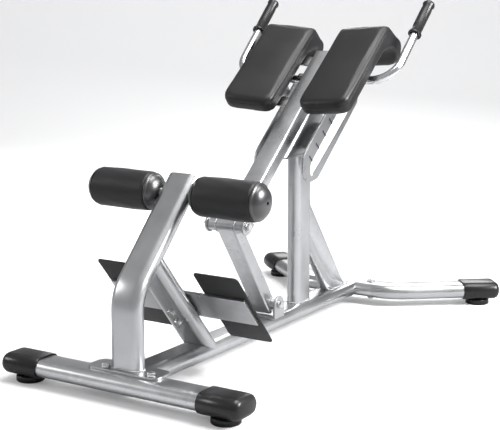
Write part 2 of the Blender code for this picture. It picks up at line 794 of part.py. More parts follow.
def build_link():
    """Bracket on the rail, swing link with its two sleeves, and both hinge bolts."""
    web = PIVOT_Z - FRAME_TOP - GAP - EAR_THICKNESS
    forked_bracket("pivot_bracket", PIVOT, -Z, "silver", PIVOT_EAR_INSIDE, web, 0.026, "bench")
    make_pivot("link_axis", PIVOT, "bench")
    make_pivot("beam_axis", HINGE, "link_axis")

    up = (HINGE - PIVOT).normalized()
    path = [PIVOT - up * STRUT_TAIL, HINGE]
    outer = rounded_rectangle(STRUT_WIDTH, STRUT_DEPTH, 0.006, 3)
    inner_width = STRUT_WIDTH - 2 * STRUT_WALL
    inner = rounded_rectangle(inner_width, STRUT_DEPTH - 2 * STRUT_WALL, 0.003, 3)
    strut = add_object("swing_link", hollow(path, outer, inner, X), "silver", "link_axis")
    drill(strut, PIVOT, X, -0.05, 0.05, PIVOT_SLEEVE_RADIUS + GAP, "link_axis")
    drill(strut, HINGE, X, -0.05, 0.05, HINGE_SLEEVE_RADIUS + GAP, "link_axis")

    bore = PIN_RADIUS + GAP
    stations = (
        ("lower", PIVOT, PIVOT_EAR_INSIDE, PIVOT_SLEEVE_RADIUS, "bench"),
        ("upper", HINGE, HINGE_EAR_INSIDE, HINGE_SLEEVE_RADIUS, "link_axis"),
    )
    for name, centre, inside, radius, bolt_pivot in stations:
        half = inside - RUNNING_GAP
        sleeve = bushing(centre, X, -half, half, radius, bore)
        add_object(f"link_{name}_sleeve", sleeve, "silver", "link_axis")
        outside = inside + EAR_THICKNESS + GAP
        pin = bolt(centre + X * outside, -X, 2 * outside, PIN_RADIUS)
        add_object(f"{name}_hinge_bolt", pin, "zinc", bolt_pivot)


# ---------------------------------------------------------------- the carriage

def build_beam():
    """Sliding beam with its yoke, and the guide bar that runs in the sleeve."""
    web = BEAM_START_S - EAR_THICKNESS - GAP - HINGE.dot(SLOPE_UP)
    forked_bracket("beam_yoke", HINGE, SLOPE_UP, "silver", HINGE_EAR_INSIDE, web, 0.024, "beam_axis")

    middle_n = BEAM_TOP_N - BEAM_DEPTH / 2
    path = [on_slope(BEAM_START_S, middle_n), on_slope(BEAM_END_S, middle_n)]
    outer = rounded_rectangle(BEAM_WIDTH, BEAM_DEPTH, 0.004, 3)
    inner = rounded_rectangle(BEAM_WIDTH - 0.005, BEAM_DEPTH - 0.005, 0.0015, 3)
    add_object("carriage_beam", hollow(path, outer, inner, X), "silver", "beam_axis")

    under_beam = BEAM_TOP_N - BEAM_DEPTH - GAP
    corners = [
        on_slope(GUIDE_BAR_START_S, GUIDE_BAR_N),
        on_slope(RISER_S, GUIDE_BAR_N),
        on_slope(RISER_S, under_beam),
    ]
    outer = rounded_rectangle(GUIDE_BAR_WIDTH, GUIDE_BAR_DEPTH, 0.003, 2)
    inner = rounded_rectangle(GUIDE_BAR_WIDTH - 0.005, GUIDE_BAR_DEPTH - 0.005, 0.001, 2)
    add_object("guide_bar", hollow(corners, outer, inner, X), "silver", "beam_axis")


def pad_frame(side):
    """Return the pad's centre and its three directions: across, along and out."""
    along = Vector((0, cos(PAD_SLOPE), sin(PAD_SLOPE)))
    flat_out = Vector((0, -sin(PAD_SLOPE), cos(PAD_SLOPE)))
    across = (X * cos(PAD_TILT) + flat_out * side * sin(PAD_TILT)).normalized()
    out = across.cross(along)
    return Vector((side * PAD_X, PAD_Y, PAD_Z)), across, along, out


def build_pads():
    """Hip pads with their hooked noses, the plates under them and the arms."""
    for name, side in SIDES:
        centre, across, along, out = pad_frame(side)
        half = PAD_LENGTH / 2
        # Side view of the pad: (distance along, height), flat on top, hooked at the nose
        outline = [
            (-half, -0.012),
            (-half + 0.012, 0),
            (half - 0.010, 0),
            (half + 0.004, -0.012),
            (half + 0.030, -0.104),
            (half + 0.024, -0.124),
            (half - 0.002, -0.150),
            (half - 0.018, -0.152),
            (half - 0.030, -0.140),
            (half - 0.022, -0.090),
            (half - 0.040, -0.064),
            (half - 0.066, -PAD_THICKNESS),
            (-half + 0.014, -PAD_THICKNESS),
            (-half, -PAD_THICKNESS + 0.014),
        ]
        start = centre - across * PAD_WIDTH / 2
        points = [start + along * a + out * h for a, h in outline]
        pad = add_object(f"hip_pad_{name}", slab(points, across * PAD_WIDTH), "vinyl", "beam_axis")
        rounding = pad.modifiers.new("rounding", "BEVEL")
        rounding.width = 0.009
        rounding.segments = 3
        rounding.limit_method = "ANGLE"
        rounding.angle_limit = radians(60)

        width, length, thickness = PAD_PLATE
        seat = centre - out * (PAD_THICKNESS + GAP)
        corners = [
            seat + across * u * width / 2 + along * (v * length / 2 + PAD_PLATE_SHIFT)
            for u, v in ((-1, -1), (1, -1), (1, 1), (-1, 1))
        ]
        plate = slab(rounded_outline(corners, 0.010), -out * thickness)
        add_object(f"pad_plate_{name}", plate, "silver", "beam_axis")

        low = seat - out * (thickness + GAP + ARM_THICKNESS / 2)
        for level, station in ARM_STATIONS:
            middle = low + along * station
            root_x = side * (BEAM_WIDTH / 2 + GAP)
            root = middle + across * ((root_x - middle.x) / across.x)
            tip = middle + across * ((side * ARM_REACH - middle.x) / across.x)
            outline = rounded_rectangle(ARM_WIDTH, ARM_THICKNESS, 0.0015, 2)
            rings = swept_rings([root, tip], outline, along, flat_end(root, X))
            add_object(f"pad_arm_{level}_{name}", loft(rings), "silver", "beam_axis")


def build_handles():
    """Bent handle tubes welded to the beam, with their rubber grips."""
    for name, side in SIDES:
        root = on_slope(HANDLE_S, HANDLE_ROOT_N, side * (BEAM_WIDTH / 2 + GAP))
        corner = on_slope(HANDLE_S, HANDLE_CORNER_N, side * HANDLE_X)
        end = on_slope(HANDLE_END_S, HANDLE_END_N, side * (HANDLE_X + 0.005))
        path = bent_path([root, corner, end], HANDLE_BEND, 10)
        plane = (corner - root).cross(end - corner).normalized()
        outer = circle(HANDLE_RADIUS, 20)
        inner = circle(HANDLE_RADIUS - HANDLE_WALL, 20)
        tube = hollow(path, outer, inner, plane, flat_end(root, X))
        add_object(f"handle_{name}", tube, "zinc", "beam_axis")

        axis = (end - corner).normalized()
        inside = HANDLE_RADIUS + GAP
        outside = inside + GRIP_WALL
        profile = [
            (0.004, HANDLE_RADIUS * 0.4),
            (0.004, outside - 0.002),
            (0.002, outside + 0.0015),
            (-0.004, outside + 0.003),
            (-0.010, outside),
            (-GRIP_LENGTH + 0.010, outside),
            (-GRIP_LENGTH + 0.005, outside + 0.0045),
            (-GRIP_LENGTH, outside + 0.0045),
            (-GRIP_LENGTH, inside),
            (GAP, inside),
        ]
        grip = loft(round_rings(profile, end, axis, 28))
        add_object(f"grip_{name}", grip, "rubber", "beam_axis")


def build_index():
    """Tab, housing and plunger that lock the carriage to the left cheek plate."""
    centre = on_slope(INDEX_S, INDEX_N)
    pad_centre, across, along, out = pad_frame(-1)
    half = TAB_THICKNESS / 2
    under_plate = pad_centre - out * (PAD_THICKNESS + PAD_PLATE[2] + 2 * GAP)

    def roof(s, x):
        """Point of the tab's upper edge, just under the pad plate."""
        base = on_slope(s, 0, x)
        return base + SLOPE_OUT * ((under_plate - base).dot(out) / SLOPE_OUT.dot(out))

    low_s = INDEX_S - TAB_WIDTH / 2
    high_s = INDEX_S + TAB_WIDTH / 2
    outer = TAB_X - half
    inner = TAB_X + half
    near = [roof(low_s, outer), on_slope(low_s, INDEX_N, outer)]
    for step in range(1, 8):
        angle = pi * step / 8
        s = INDEX_S - cos(angle) * TAB_WIDTH / 2
        near.append(on_slope(s, INDEX_N - sin(angle) * TAB_WIDTH / 2, outer))
    near += [on_slope(high_s, INDEX_N, outer), roof(high_s, outer)]
    far = [p + X * TAB_THICKNESS for p in near]
    far[0] = roof(low_s, inner)
    far[-1] = roof(high_s, inner)
    tab = add_object("index_tab", loft([near, far]), "silver", "beam_axis")
    drill(tab, centre, X, outer - 0.01, inner + 0.01, PIN_RADIUS + GAP, "beam_axis")

    seat = outer - GAP
    housing = bushing(centre, X, seat - HOUSING_LENGTH, seat, HOUSING_RADIUS, PIN_RADIUS + GAP)
    add_object("index_housing", housing, "zinc", "beam_axis")

    tip = -CHEEK_X - CHEEK_THICKNESS / 2 - 0.001
    knob = seat - HOUSING_LENGTH - PLUNGER_TRAVEL - 0.001
    make_pivot("index_axis", centre + X * knob, "beam_axis")
    profile = [
        (tip, PIN_RADIUS - 0.001),
        (tip - 0.001, PIN_RADIUS),
        (knob, PIN_RADIUS),
        (knob, KNOB_RADIUS - 0.003),
        (knob - 0.003, KNOB_RADIUS),
        (knob - KNOB_LENGTH + 0.005, KNOB_RADIUS),
        (knob - KNOB_LENGTH, KNOB_RADIUS - 0.006),
    ]
    shape = loft(round_rings(profile, centre, X))
    add_object("index_plunger", shape, "plastic", "index_axis")


def main():
    """Build the whole bench."""
    clear_scene()
    make_pivot("bench", Vector())
    build_rear_foot()
    build_mast()
    build_rail()
    build_foot_rest()
    build_rollers()
    build_upright()
    build_cheeks()
    build_front()
    build_link()
    build_beam()
    build_pads()
    build_handles()
    build_index()
    PIVOTS["bench"][0].location = (0, -REAR_TO_MIDDLE, 0)


main()
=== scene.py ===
"""Looks of the roman chair: upholstery, foam, paint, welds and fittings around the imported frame."""

from __future__ import annotations

import json
import logging
from dataclasses import dataclass, field
from enum import Enum
from math import cos, pi, radians, sin, sqrt

import bmesh
import bpy
import numpy as np
from mathutils import Euler, Matrix, Vector
from mathutils.bvhtree import BVHTree

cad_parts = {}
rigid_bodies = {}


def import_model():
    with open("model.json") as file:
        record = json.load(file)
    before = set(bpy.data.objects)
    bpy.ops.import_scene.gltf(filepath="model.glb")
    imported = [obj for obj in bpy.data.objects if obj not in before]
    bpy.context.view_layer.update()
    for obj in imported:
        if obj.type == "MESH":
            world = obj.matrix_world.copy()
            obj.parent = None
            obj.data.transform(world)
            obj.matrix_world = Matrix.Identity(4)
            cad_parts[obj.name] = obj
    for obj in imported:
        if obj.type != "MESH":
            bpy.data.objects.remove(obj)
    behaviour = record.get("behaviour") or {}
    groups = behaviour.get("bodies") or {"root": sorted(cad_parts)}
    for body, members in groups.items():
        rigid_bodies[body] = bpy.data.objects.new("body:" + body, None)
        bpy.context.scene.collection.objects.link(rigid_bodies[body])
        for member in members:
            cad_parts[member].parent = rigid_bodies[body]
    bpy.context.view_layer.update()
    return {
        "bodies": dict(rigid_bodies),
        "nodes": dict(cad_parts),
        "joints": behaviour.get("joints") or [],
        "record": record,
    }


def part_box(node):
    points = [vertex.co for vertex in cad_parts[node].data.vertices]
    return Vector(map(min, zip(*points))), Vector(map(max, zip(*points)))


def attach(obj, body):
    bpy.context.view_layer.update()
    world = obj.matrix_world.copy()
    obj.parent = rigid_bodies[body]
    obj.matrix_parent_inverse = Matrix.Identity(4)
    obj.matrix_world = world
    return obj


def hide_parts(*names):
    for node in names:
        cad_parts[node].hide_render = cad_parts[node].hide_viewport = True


LOG = logging.getLogger("bench")

MIDDLE_TO_REAR = -0.6998     # from the middle of the machine back to its rear crossbar
SIDES = (("left", -1), ("right", 1))
X = Vector((1, 0, 0))
Y = Vector((0, 1, 0))
Z = Vector((0, 0, 1))
GUIDE_SLOPE = radians(40)
BRACE_FALL = radians(49.6)   # slope of the lower brace and the foot plates
MAST_LEAN = radians(44)      # lean of the mast's upper part from upright
SHADOW_GAP = 0.0004
DUST_COLOUR = (0.55, 0.54, 0.52, 1)

Node = bpy.types.Node
Socket = bpy.types.NodeSocket


def station(x: float, y: float, z: float) -> Vector:
    """Point whose y is counted from the axis of the rear crossbar."""
    return Vector((x, y + MIDDLE_TO_REAR, z))


def on_slope(s: float, n: float, x: float = 0.0) -> Vector:
    """Point at a distance s up the guide's slope and n square to it.

    Args:
        s: distance up the slope, in metres.
        n: distance out of the slope, in metres.
        x: sideways place, in metres.

    Returns:
        The point in the row frame.
    """
    y = s * cos(GUIDE_SLOPE) - n * sin(GUIDE_SLOPE)
    z = s * sin(GUIDE_SLOPE) + n * cos(GUIDE_SLOPE)
    return station(x, y, z)


class Body(Enum):
    """Rigid bodies of the bench."""

    FRAME = "frame"
    LINK = "link"
    CARRIAGE = "carriage"
    PLUNGER = "plunger"
    ROLLER_LEFT = "roller_left"
    ROLLER_RIGHT = "roller_right"


class Slot(Enum):
    """Material slots of the record."""

    SILVER = "silver_paint"
    ZINC = "zinc_steel"
    TUBE = "bright_tube"
    PLATE = "dark_plate"
    VINYL = "black_vinyl"
    FOAM = "black_foam"
    RUBBER = "black_rubber"
    PLASTIC = "black_plastic"


class Run(Enum):
    """Way in which the polishing lines of a painted tube run: (turn about X, turn about Z)."""

    LENGTHWISE = (0.0, 0.0)
    LATERAL = (0.0, radians(90))
    UPRIGHT = (radians(90), 0.0)
    SLOPING = (GUIDE_SLOPE, 0.0)
    FALLING = (-BRACE_FALL, 0.0)
    BRACED = (radians(127.5), 0.0)
    LINKED = (radians(125), 0.0)


# ------------------------------------------------------------------ shader nodes

class NodeKit:
    """Short ways to add and join the nodes of one tree."""

    def __init__(self, tree: bpy.types.NodeTree) -> None:
        """Keep the tree that the nodes go in."""
        self.tree = tree

    def add(self, kind: str, **settings: object) -> Node:
        """Add a node.

        Args:
            kind: Blender's name of the node type.
            settings: properties of the node, by name.

        Returns:
            The new node.
        """
        node = self.tree.nodes.new(kind)
        for name, value in settings.items():
            setattr(node, name, value)
        return node

    def feed(self, node: Node, **values: object) -> Node:
        """Set or link a node's inputs; a name's underscores stand for spaces.

        Args:
            node: the node to feed.
            values: a number, colour or output socket for each input.

        Returns:
            The same node.
        """
        for name, value in values.items():
            target = node.inputs[name.replace("_", " ")]
            self.set(target, value)
        return node

    def set(self, target: Socket, value: object) -> None:
        """Set or link one input socket."""
        if isinstance(value, bpy.types.NodeSocket):
            self.tree.links.new(value, target)
        else:
            target.default_value = value

    def math(self, operation: str, *values: object) -> Socket:
        """Add a Math node and return its output."""
        node = self.add("ShaderNodeMath", operation=operation)
        for target, value in zip(node.inputs, values):
            self.set(target, value)
        return node.outputs[0]

    def spread(self, value: Socket, low: float, high: float, start: float = 0.0, end: float = 1.0) -> Socket:
        """Map a value's range from start to end onto low to high and return the output."""
        node = self.add("ShaderNodeMapRange")
        self.feed(node, Value=value, From_Min=start, From_Max=end, To_Min=low, To_Max=high)
        return node.outputs["Result"]

    def noise(self, place: Socket, scale: object, detail: float) -> Socket:
        """Add a Noise Texture node and return its value."""
        node = self.feed(self.add("ShaderNodeTexNoise"), Vector=place, Scale=scale, Detail=detail)
        return node.outputs[0]

    def blend_colours(self, amount: Socket, first: object, second: object) -> Socket:
        """Mix two colours and return the output."""
        node = self.add("ShaderNodeMix", data_type="RGBA")
        self.set(node.inputs[0], amount)
        self.set(node.inputs[6], first)
        self.set(node.inputs[7], second)
        return node.outputs[2]


def new_group(name: str, inputs: dict[str, float], outputs: tuple[str, ...]) -> tuple[NodeKit, Node, Node]:
    """Start a shader node group with float sockets.

    Args:
        name: name of the group.
        inputs: default value for each input, by name.
        outputs: names of the outputs.
    """
    tree = bpy.data.node_groups.new(name, "ShaderNodeTree")
    for title, value in inputs.items():
        socket = tree.interface.new_socket(title, in_out="INPUT", socket_type="NodeSocketFloat")
        socket.default_value = value
    for title in outputs:
        tree.interface.new_socket(title, in_out="OUTPUT", socket_type="NodeSocketFloat")
    kit = NodeKit(tree)
    return kit, kit.add("NodeGroupInput"), kit.add("NodeGroupOutput")


class SharedEffects:
    """Node groups that several finishes use."""

    def __init__(self) -> None:
        """Build every group once."""
        self.grain = self.build_grain()
        self.wear = self.build_wear()
        self.dust = self.build_dust()
        self.leather = self.build_leather()

    def build_grain(self) -> bpy.types.NodeTree:
        """Fine surface noise and slow mottling on Object coordinates."""
        kit, given, out = new_group("FineGrain", {"Scale": 900.0, "Mottle": 9.0}, ("Grain", "Mottle"))
        place = kit.add("ShaderNodeTexCoord").outputs["Object"]
        fine = kit.noise(place, given.outputs["Scale"], 3.0)
        slow = kit.noise(place, given.outputs["Mottle"], 4.0)
        kit.feed(out, Grain=fine, Mottle=slow)
        return kit.tree

    def build_wear(self) -> bpy.types.NodeTree:
        """Mask that is 1 along convex edges, broken up by noise."""
        kit, given, out = new_group("EdgeWear", {"Start": 0.53, "Break Up": 60.0}, ("Mask",))
        edge = kit.add("ShaderNodeNewGeometry").outputs["Pointiness"]
        place = kit.add("ShaderNodeTexCoord").outputs["Object"]
        noise = kit.noise(place, given.outputs["Break Up"], 5.0)
        above = kit.math("SUBTRACT", edge, given.outputs["Start"])
        steep = kit.math("MULTIPLY", above, 14.0)
        broken = kit.math("MULTIPLY", steep, noise)
        clamped = kit.add("ShaderNodeClamp")
        kit.feed(clamped, Value=broken)
        kit.feed(out, Mask=clamped.outputs[0])
        return kit.tree

    def build_dust(self) -> bpy.types.NodeTree:
        """Thin patchy mask on faces that look up."""
        kit, given, out = new_group("SettledDust", {"Amount": 0.1, "Patch": 14.0}, ("Mask",))
        normal = kit.add("ShaderNodeSeparateXYZ")
        kit.feed(normal, Vector=kit.add("ShaderNodeNewGeometry").outputs["Normal"])
        place = kit.add("ShaderNodeTexCoord").outputs["Object"]
        noise = kit.noise(place, given.outputs["Patch"], 6.0)
        up = kit.math("MAXIMUM", normal.outputs["Z"], 0.0)
        patchy = kit.math("MULTIPLY", up, noise)
        kit.feed(out, Mask=kit.math("MULTIPLY", patchy, given.outputs["Amount"]))
        return kit.tree

    def build_leather(self) -> bpy.types.NodeTree:
        """Pebbled height of upholstery vinyl with shallow creases between the pebbles."""
        kit, given, out = new_group("VinylPebble", {"Scale": 520.0, "Crease": 0.3}, ("Height",))
        place = kit.add("ShaderNodeTexCoord").outputs["Object"]
        cells = kit.add("ShaderNodeTexVoronoi", feature="SMOOTH_F1")
        kit.feed(cells, Vector=place, Scale=given.outputs["Scale"], Smoothness=0.6)
        slow = kit.noise(place, 24.0, 4.0)
        pebble = kit.math("SUBTRACT", 1.0, cells.outputs["Distance"])
        crease = kit.math("MULTIPLY", slow, given.outputs["Crease"])
        kit.feed(out, Height=kit.math("ADD", pebble, crease))
        return kit.tree


# ---------------------------------------------------------------------- finishes

@dataclass(frozen=True)
class Finish:
    """One surface finish; its numbers go on the shader's own sockets.

    Attributes:
        title: name of the material.
        slot: the record's slot that it stands for.
        colour: base colour, linear.
        roughness: lowest and highest roughness over the surface.
        metallic: 0 for plastics and cloth, 1 for bare metal.
    """

    title: str
    slot: Slot
    colour: tuple[float, float, float]
    roughness: tuple[float, float] = (0.4, 0.5)
    metallic: float = 0.0
    coat: float = 0.0
    coat_roughness: float = 0.1
    specular: float = 0.5
    sheen: float = 0.0
    grain: float = 900.0
    grain_depth: float = 0.05
    grain_height: float = 0.0002
    dust: float = 0.0
    wear_colour: tuple[float, float, float] | None = None
    wear_start: float = 0.53

    def material(self, effects: SharedEffects) -> bpy.types.Material:
        """Build the material.

        Args:
            effects: the shared node groups.

        Returns:
            The finished material.
        """
        made = bpy.data.materials.new(self.title)
        made.use_nodes = True
        kit = NodeKit(made.node_tree)
        shader = made.node_tree.nodes["Principled BSDF"]
        self.set_constants(shader)
        grain = self.group(kit, effects.grain, Scale=self.grain)
        colour = self.colour_nodes(kit, effects, grain.outputs["Mottle"])
        kit.set(shader.inputs["Base Color"], colour)
        rough = kit.spread(grain.outputs["Mottle"], self.roughness[0], self.roughness[1], 0.35, 0.65)
        kit.set(shader.inputs["Roughness"], rough)
        height = self.height(kit, effects, grain)
        bump = kit.add("ShaderNodeBump")
        kit.feed(bump, Height=height, Strength=self.grain_depth, Distance=self.grain_height)
        kit.set(shader.inputs["Normal"], bump.outputs[0])
        made.diffuse_color = (*self.colour, 1)
        return made

    def set_constants(self, shader: Node) -> None:
        """Put the values that are the same everywhere on the shader's own sockets."""
        values = {
            "Metallic": self.metallic, "Coat Weight": self.coat, "Coat Roughness": self.coat_roughness,
            "Specular IOR Level": self.specular, "Sheen Weight": self.sheen, "Sheen Roughness": 0.45,
        }
        for name, value in values.items():
            shader.inputs[name].default_value = value

    def group(self, kit: NodeKit, tree: bpy.types.NodeTree, **values: float) -> Node:
        """Place a shared group with this finish's own values."""
        node = kit.add("ShaderNodeGroup", node_tree=tree)
        return kit.feed(node, **values)

    def colour_nodes(self, kit: NodeKit, effects: SharedEffects, mottle: Socket) -> Socket:
        """Base colour with mottling, edge wear and dust.

        Args:
            kit: nodes of the material.
            effects: the shared node groups.
            mottle: slow noise over the surface.

        Returns:
            The colour output.
        """
        low = (*(c * 0.90 for c in self.colour), 1)
        high = (*(min(1.0, c * 1.08) for c in self.colour), 1)
        colour = kit.blend_colours(kit.spread(mottle, 0.0, 1.0, 0.3, 0.7), low, high)
        if self.wear_colour:
            wear = self.group(kit, effects.wear, Start=self.wear_start)
            colour = kit.blend_colours(wear.outputs["Mask"], colour, (*self.wear_colour, 1))
        if self.dust:
            dust = self.group(kit, effects.dust, Amount=self.dust)
            colour = kit.blend_colours(dust.outputs["Mask"], colour, DUST_COLOUR)
        return colour

    def height(self, kit: NodeKit, effects: SharedEffects, grain: Node) -> Socket:
        """Height for the bump; plain finishes use the fine grain."""
        return grain.outputs["Grain"]


@dataclass(frozen=True)
class PolishedPaint(Finish):
    """Silver paint over drawn tube, with faint polishing lines along the tube."""

    run: Run = Run.LENGTHWISE

    def height(self, kit: NodeKit, effects: SharedEffects, grain: Node) -> Socket:
        """Height of the polishing lines, long along the run and fine across it."""
        turn_x, turn_z = self.run.value
        place = kit.add("ShaderNodeMapping")
        kit.feed(place, Vector=kit.add("ShaderNodeTexCoord").outputs["Object"])
        place.inputs["Rotation"].default_value = (-turn_x, 0, -turn_z)
        stretch = kit.add("ShaderNodeMapping")
        kit.feed(stretch, Vector=place.outputs[0])
        stretch.inputs["Scale"].default_value = (700, 9, 700)
        lines = kit.noise(stretch.outputs[0], 1.0, 2.0)
        return kit.math("ADD", lines, kit.math("MULTIPLY", grain.outputs["Grain"], 0.3))


@dataclass(frozen=True)
class Upholstery(Finish):
    """Soft vinyl cover with a pebbled grain."""

    pebble: float = 520.0

    def height(self, kit: NodeKit, effects: SharedEffects, grain: Node) -> Socket:
        """Height of the pebbled vinyl."""
        return self.group(kit, effects.leather, Scale=self.pebble).outputs["Height"]


class Palette:
    """Every material of the bench, made once."""

    def __init__(self) -> None:
        """Build the shared effects and the materials."""
        effects = SharedEffects()
        steel = (0.80, 0.81, 0.82)
        self.slots: dict[str, Slot] = {}
        self.paint = {
            run: self.keep(PolishedPaint(
                f"silver_paint_{run.name.lower()}", Slot.SILVER, (0.50, 0.505, 0.51), (0.27, 0.34), 1.0,
                coat=0.12, coat_roughness=0.22, grain_depth=0.035, grain_height=0.00012,
                wear_colour=steel, wear_start=0.56, dust=0.03, run=run), effects)
            for run in Run
        }
        self.zinc = self.keep(Finish(
            "zinc_plating", Slot.ZINC, (0.58, 0.58, 0.59), (0.18, 0.34), 1.0, grain=1400.0,
            grain_depth=0.12, wear_colour=(0.78, 0.78, 0.76), dust=0.03), effects)
        self.tube = self.keep(PolishedPaint(
            "bright_handle_tube", Slot.TUBE, (0.66, 0.67, 0.68), (0.14, 0.22), 1.0, coat=0.2,
            grain_depth=0.14, wear_colour=steel, run=Run.SLOPING), effects)
        self.weld = self.keep(Finish(
            "painted_weld", Slot.SILVER, (0.46, 0.465, 0.47), (0.30, 0.38), 1.0, coat=0.12,
            grain_depth=0.05, dust=0.03), effects)
        self.plate = self.keep(Finish(
            "textured_black_paint", Slot.PLATE, (0.014, 0.0142, 0.015), (0.44, 0.56), 0.0, specular=0.35,
            grain=1500.0, grain_depth=0.35, grain_height=0.0003,
            wear_colour=(0.13, 0.13, 0.135), wear_start=0.55, dust=0.02), effects)
        self.vinyl = self.keep(Upholstery(
            "black_vinyl", Slot.VINYL, (0.0085, 0.0085, 0.0092), (0.38, 0.48), 0.0, specular=0.42,
            sheen=0.02, grain_depth=0.16, grain_height=0.00025, dust=0.01), effects)
        self.thread = self.keep(Finish(
            "black_thread", Slot.VINYL, (0.020, 0.020, 0.021), (0.6, 0.75), 0.0, sheen=0.15,
            grain=2600.0, grain_depth=0.4), effects)
        self.foam = self.keep(Upholstery(
            "skinned_foam", Slot.FOAM, (0.010, 0.010, 0.011), (0.44, 0.54), 0.0, specular=0.42,
            sheen=0.02, grain_depth=0.14, grain_height=0.00022, dust=0.01, pebble=900.0), effects)
        self.rubber = self.keep(Finish(
            "moulded_rubber", Slot.RUBBER, (0.0075, 0.0075, 0.008), (0.24, 0.33), 0.0, specular=0.42,
            grain=1100.0, grain_depth=0.08, wear_colour=(0.035, 0.035, 0.037), wear_start=0.57,
            dust=0.02), effects)
        self.plastic = self.keep(Finish(
            "moulded_plastic", Slot.PLASTIC, (0.011, 0.011, 0.012), (0.30, 0.36), 0.0, coat=0.5,
            coat_roughness=0.3, specular=0.9, grain=700.0, grain_depth=0.05, dust=0.01), effects)
        self.panel = self.keep(Finish(
            "scale_film", Slot.SILVER, (0.88, 0.885, 0.89), (0.34, 0.40), 0.0, grain_depth=0.03), effects)
        # dark ink of the printed position marks; the same material paints the shadow line along the film's
        # edge
        self.ink_and_painted_shadow = self.keep(Finish(
            "scale_ink_and_painted_shadow", Slot.PLATE, (0.02, 0.02, 0.022), (0.35, 0.42), 0.0, grain_depth=0.03), effects)

    def keep(self, finish: Finish, effects: SharedEffects) -> bpy.types.Material:
        """Make a finish's material and remember its slot."""
        made = finish.material(effects)
        self.slots[made.name] = finish.slot
        return made


# ----------------------------------------------------------------- placing pieces

class Bench:
    """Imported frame, palette and the ways that pieces are added to them."""

    def __init__(self, frame: dict) -> None:
        """Keep the loaded frame and make the palette.
        """
        self.frame = frame
        self.palette = Palette()
        bodies = frame["record"]["behaviour"]["bodies"]
        self.body_of = {node: body for body, nodes in bodies.items() for node in nodes}

    def add(
        self,
        name: str,
        mesh: bpy.types.Mesh,
        material: bpy.types.Material,
        body: Body | str,
        replaces: tuple[str, ...] = (),
        smooth: float = 34.0,
    ) -> bpy.types.Object:
        """Add a finished mesh as a piece.

        Args:
            name: name of the piece.
            mesh: its mesh, in the row frame.
            material: its material.
            body: the body that it moves with.
            replaces: CAD nodes that it stands for.
            smooth: edges sharper than this, in degrees, stay sharp.

        Returns:
            The new object.
        """
        mesh.materials.clear()
        mesh.materials.append(material)
        mesh.shade_smooth()
        mesh.set_sharp_from_angle(angle=radians(smooth))
        piece = bpy.data.objects.new(name, mesh)
        bpy.context.scene.collection.objects.link(piece)
        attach(piece, body.value if isinstance(body, Body) else body)
        if replaces:
            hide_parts(*replaces)
        LOG.info("%s: %d faces", name, len(mesh.polygons))
        return piece

    def skin(self, node: str, material: bpy.types.Material, edge: float = 0.0, smooth: float = 34.0) -> None:
        """Stand a smooth, merged copy with softened edges in for a CAD node.

        Args:
            node: name of the CAD node.
            material: its material.
            edge: width of the softened edges, or 0 for none.
            smooth: edges sharper than this, in degrees, stay sharp.
        """
        bm = bmesh.new()
        bm.from_mesh(self.frame["nodes"][node].data)
        bmesh.ops.remove_doubles(bm, verts=bm.verts, dist=1e-6)
        bmesh.ops.dissolve_limit(bm, angle_limit=radians(0.5), verts=bm.verts, edges=bm.edges)
        mesh = mesh_from(bm, f"{node}_skin")
        piece = self.add(f"{node}_skin", mesh, material, self.body_of[node], (node,), smooth)
        if edge:
            bevel = piece.modifiers.new("soft_edges", "BEVEL")
            bevel.width = edge
            bevel.segments = 2
            bevel.limit_method = "ANGLE"
            bevel.angle_limit = radians(50)
            bevel.harden_normals = True


def mesh_from(bm: bmesh.types.BMesh, name: str) -> bpy.types.Mesh:
    """Turn a bmesh into a mesh and free it."""
    mesh = bpy.data.meshes.new(name)
    bm.to_mesh(mesh)
    bm.free()
    return mesh


def loft(rings: list[list[Vector]], closed: bool = False) -> bmesh.types.BMesh:
    """Skin equal rings of points.

    Args:
        rings: rings with the same number of points.
        closed: join the last ring to the first instead of closing the ends.

    Returns:
        A closed bmesh with its faces pointing out.
    """
    bm = bmesh.new()
    loops = [[bm.verts.new(point) for point in ring] for ring in rings]
    pairs = list(zip(loops, loops[1:]))
    if closed:
        pairs.append((loops[-1], loops[0]))
    for near, far in pairs:
        for i in range(len(near)):
            j = (i + 1) % len(near)
            bm.faces.new((near[i], near[j], far[j], far[i]))
    if not closed:
        bm.faces.new(list(reversed(loops[0])))
        bm.faces.new(loops[-1])
    bmesh.ops.recalc_face_normals(bm, faces=bm.faces)
    return bm


def round_rings(
    profile: list[tuple[float, float]], centre: Vector, axis: Vector, sides: int
) -> list[list[Vector]]:
    """Rings about an axis for a profile of (distance along, radius) points."""
    u = axis.orthogonal().normalized()
    v = axis.cross(u)
    turns = [2 * pi * i / sides for i in range(sides)]
    return [
        [centre + axis * along + (u * cos(a) + v * sin(a)) * radius for a in turns]
        for along, radius in profile
    ]


def polyline(name: str, points: list[Vector], cyclic: bool = False) -> bpy.types.Object:
    """Object whose mesh is a chain of edges through the points."""
    mesh = bpy.data.meshes.new(name)
    edges = [(i, i + 1) for i in range(len(points) - 1)]
    if cyclic:
        edges.append((len(points) - 1, 0))
    mesh.from_pydata([tuple(p) for p in points], edges, [])
    line = bpy.data.objects.new(name, mesh)
    bpy.context.scene.collection.objects.link(line)
    return line


# ------------------------------------------------------------- repeated details

def end_tree(kit: NodeKit, placed: Node, finish: Socket) -> None:
    """Turn a tree's instances into real mesh, give it its material and put it out."""
    real = kit.add("GeometryNodeRealizeInstances")
    kit.set(real.inputs[0], placed.outputs[0])
    dressed = kit.feed(kit.add("GeometryNodeSetMaterial"), Geometry=real.outputs[0], Material=finish)
    kit.set(kit.add("NodeGroupOutput").inputs[0], dressed.outputs[0])


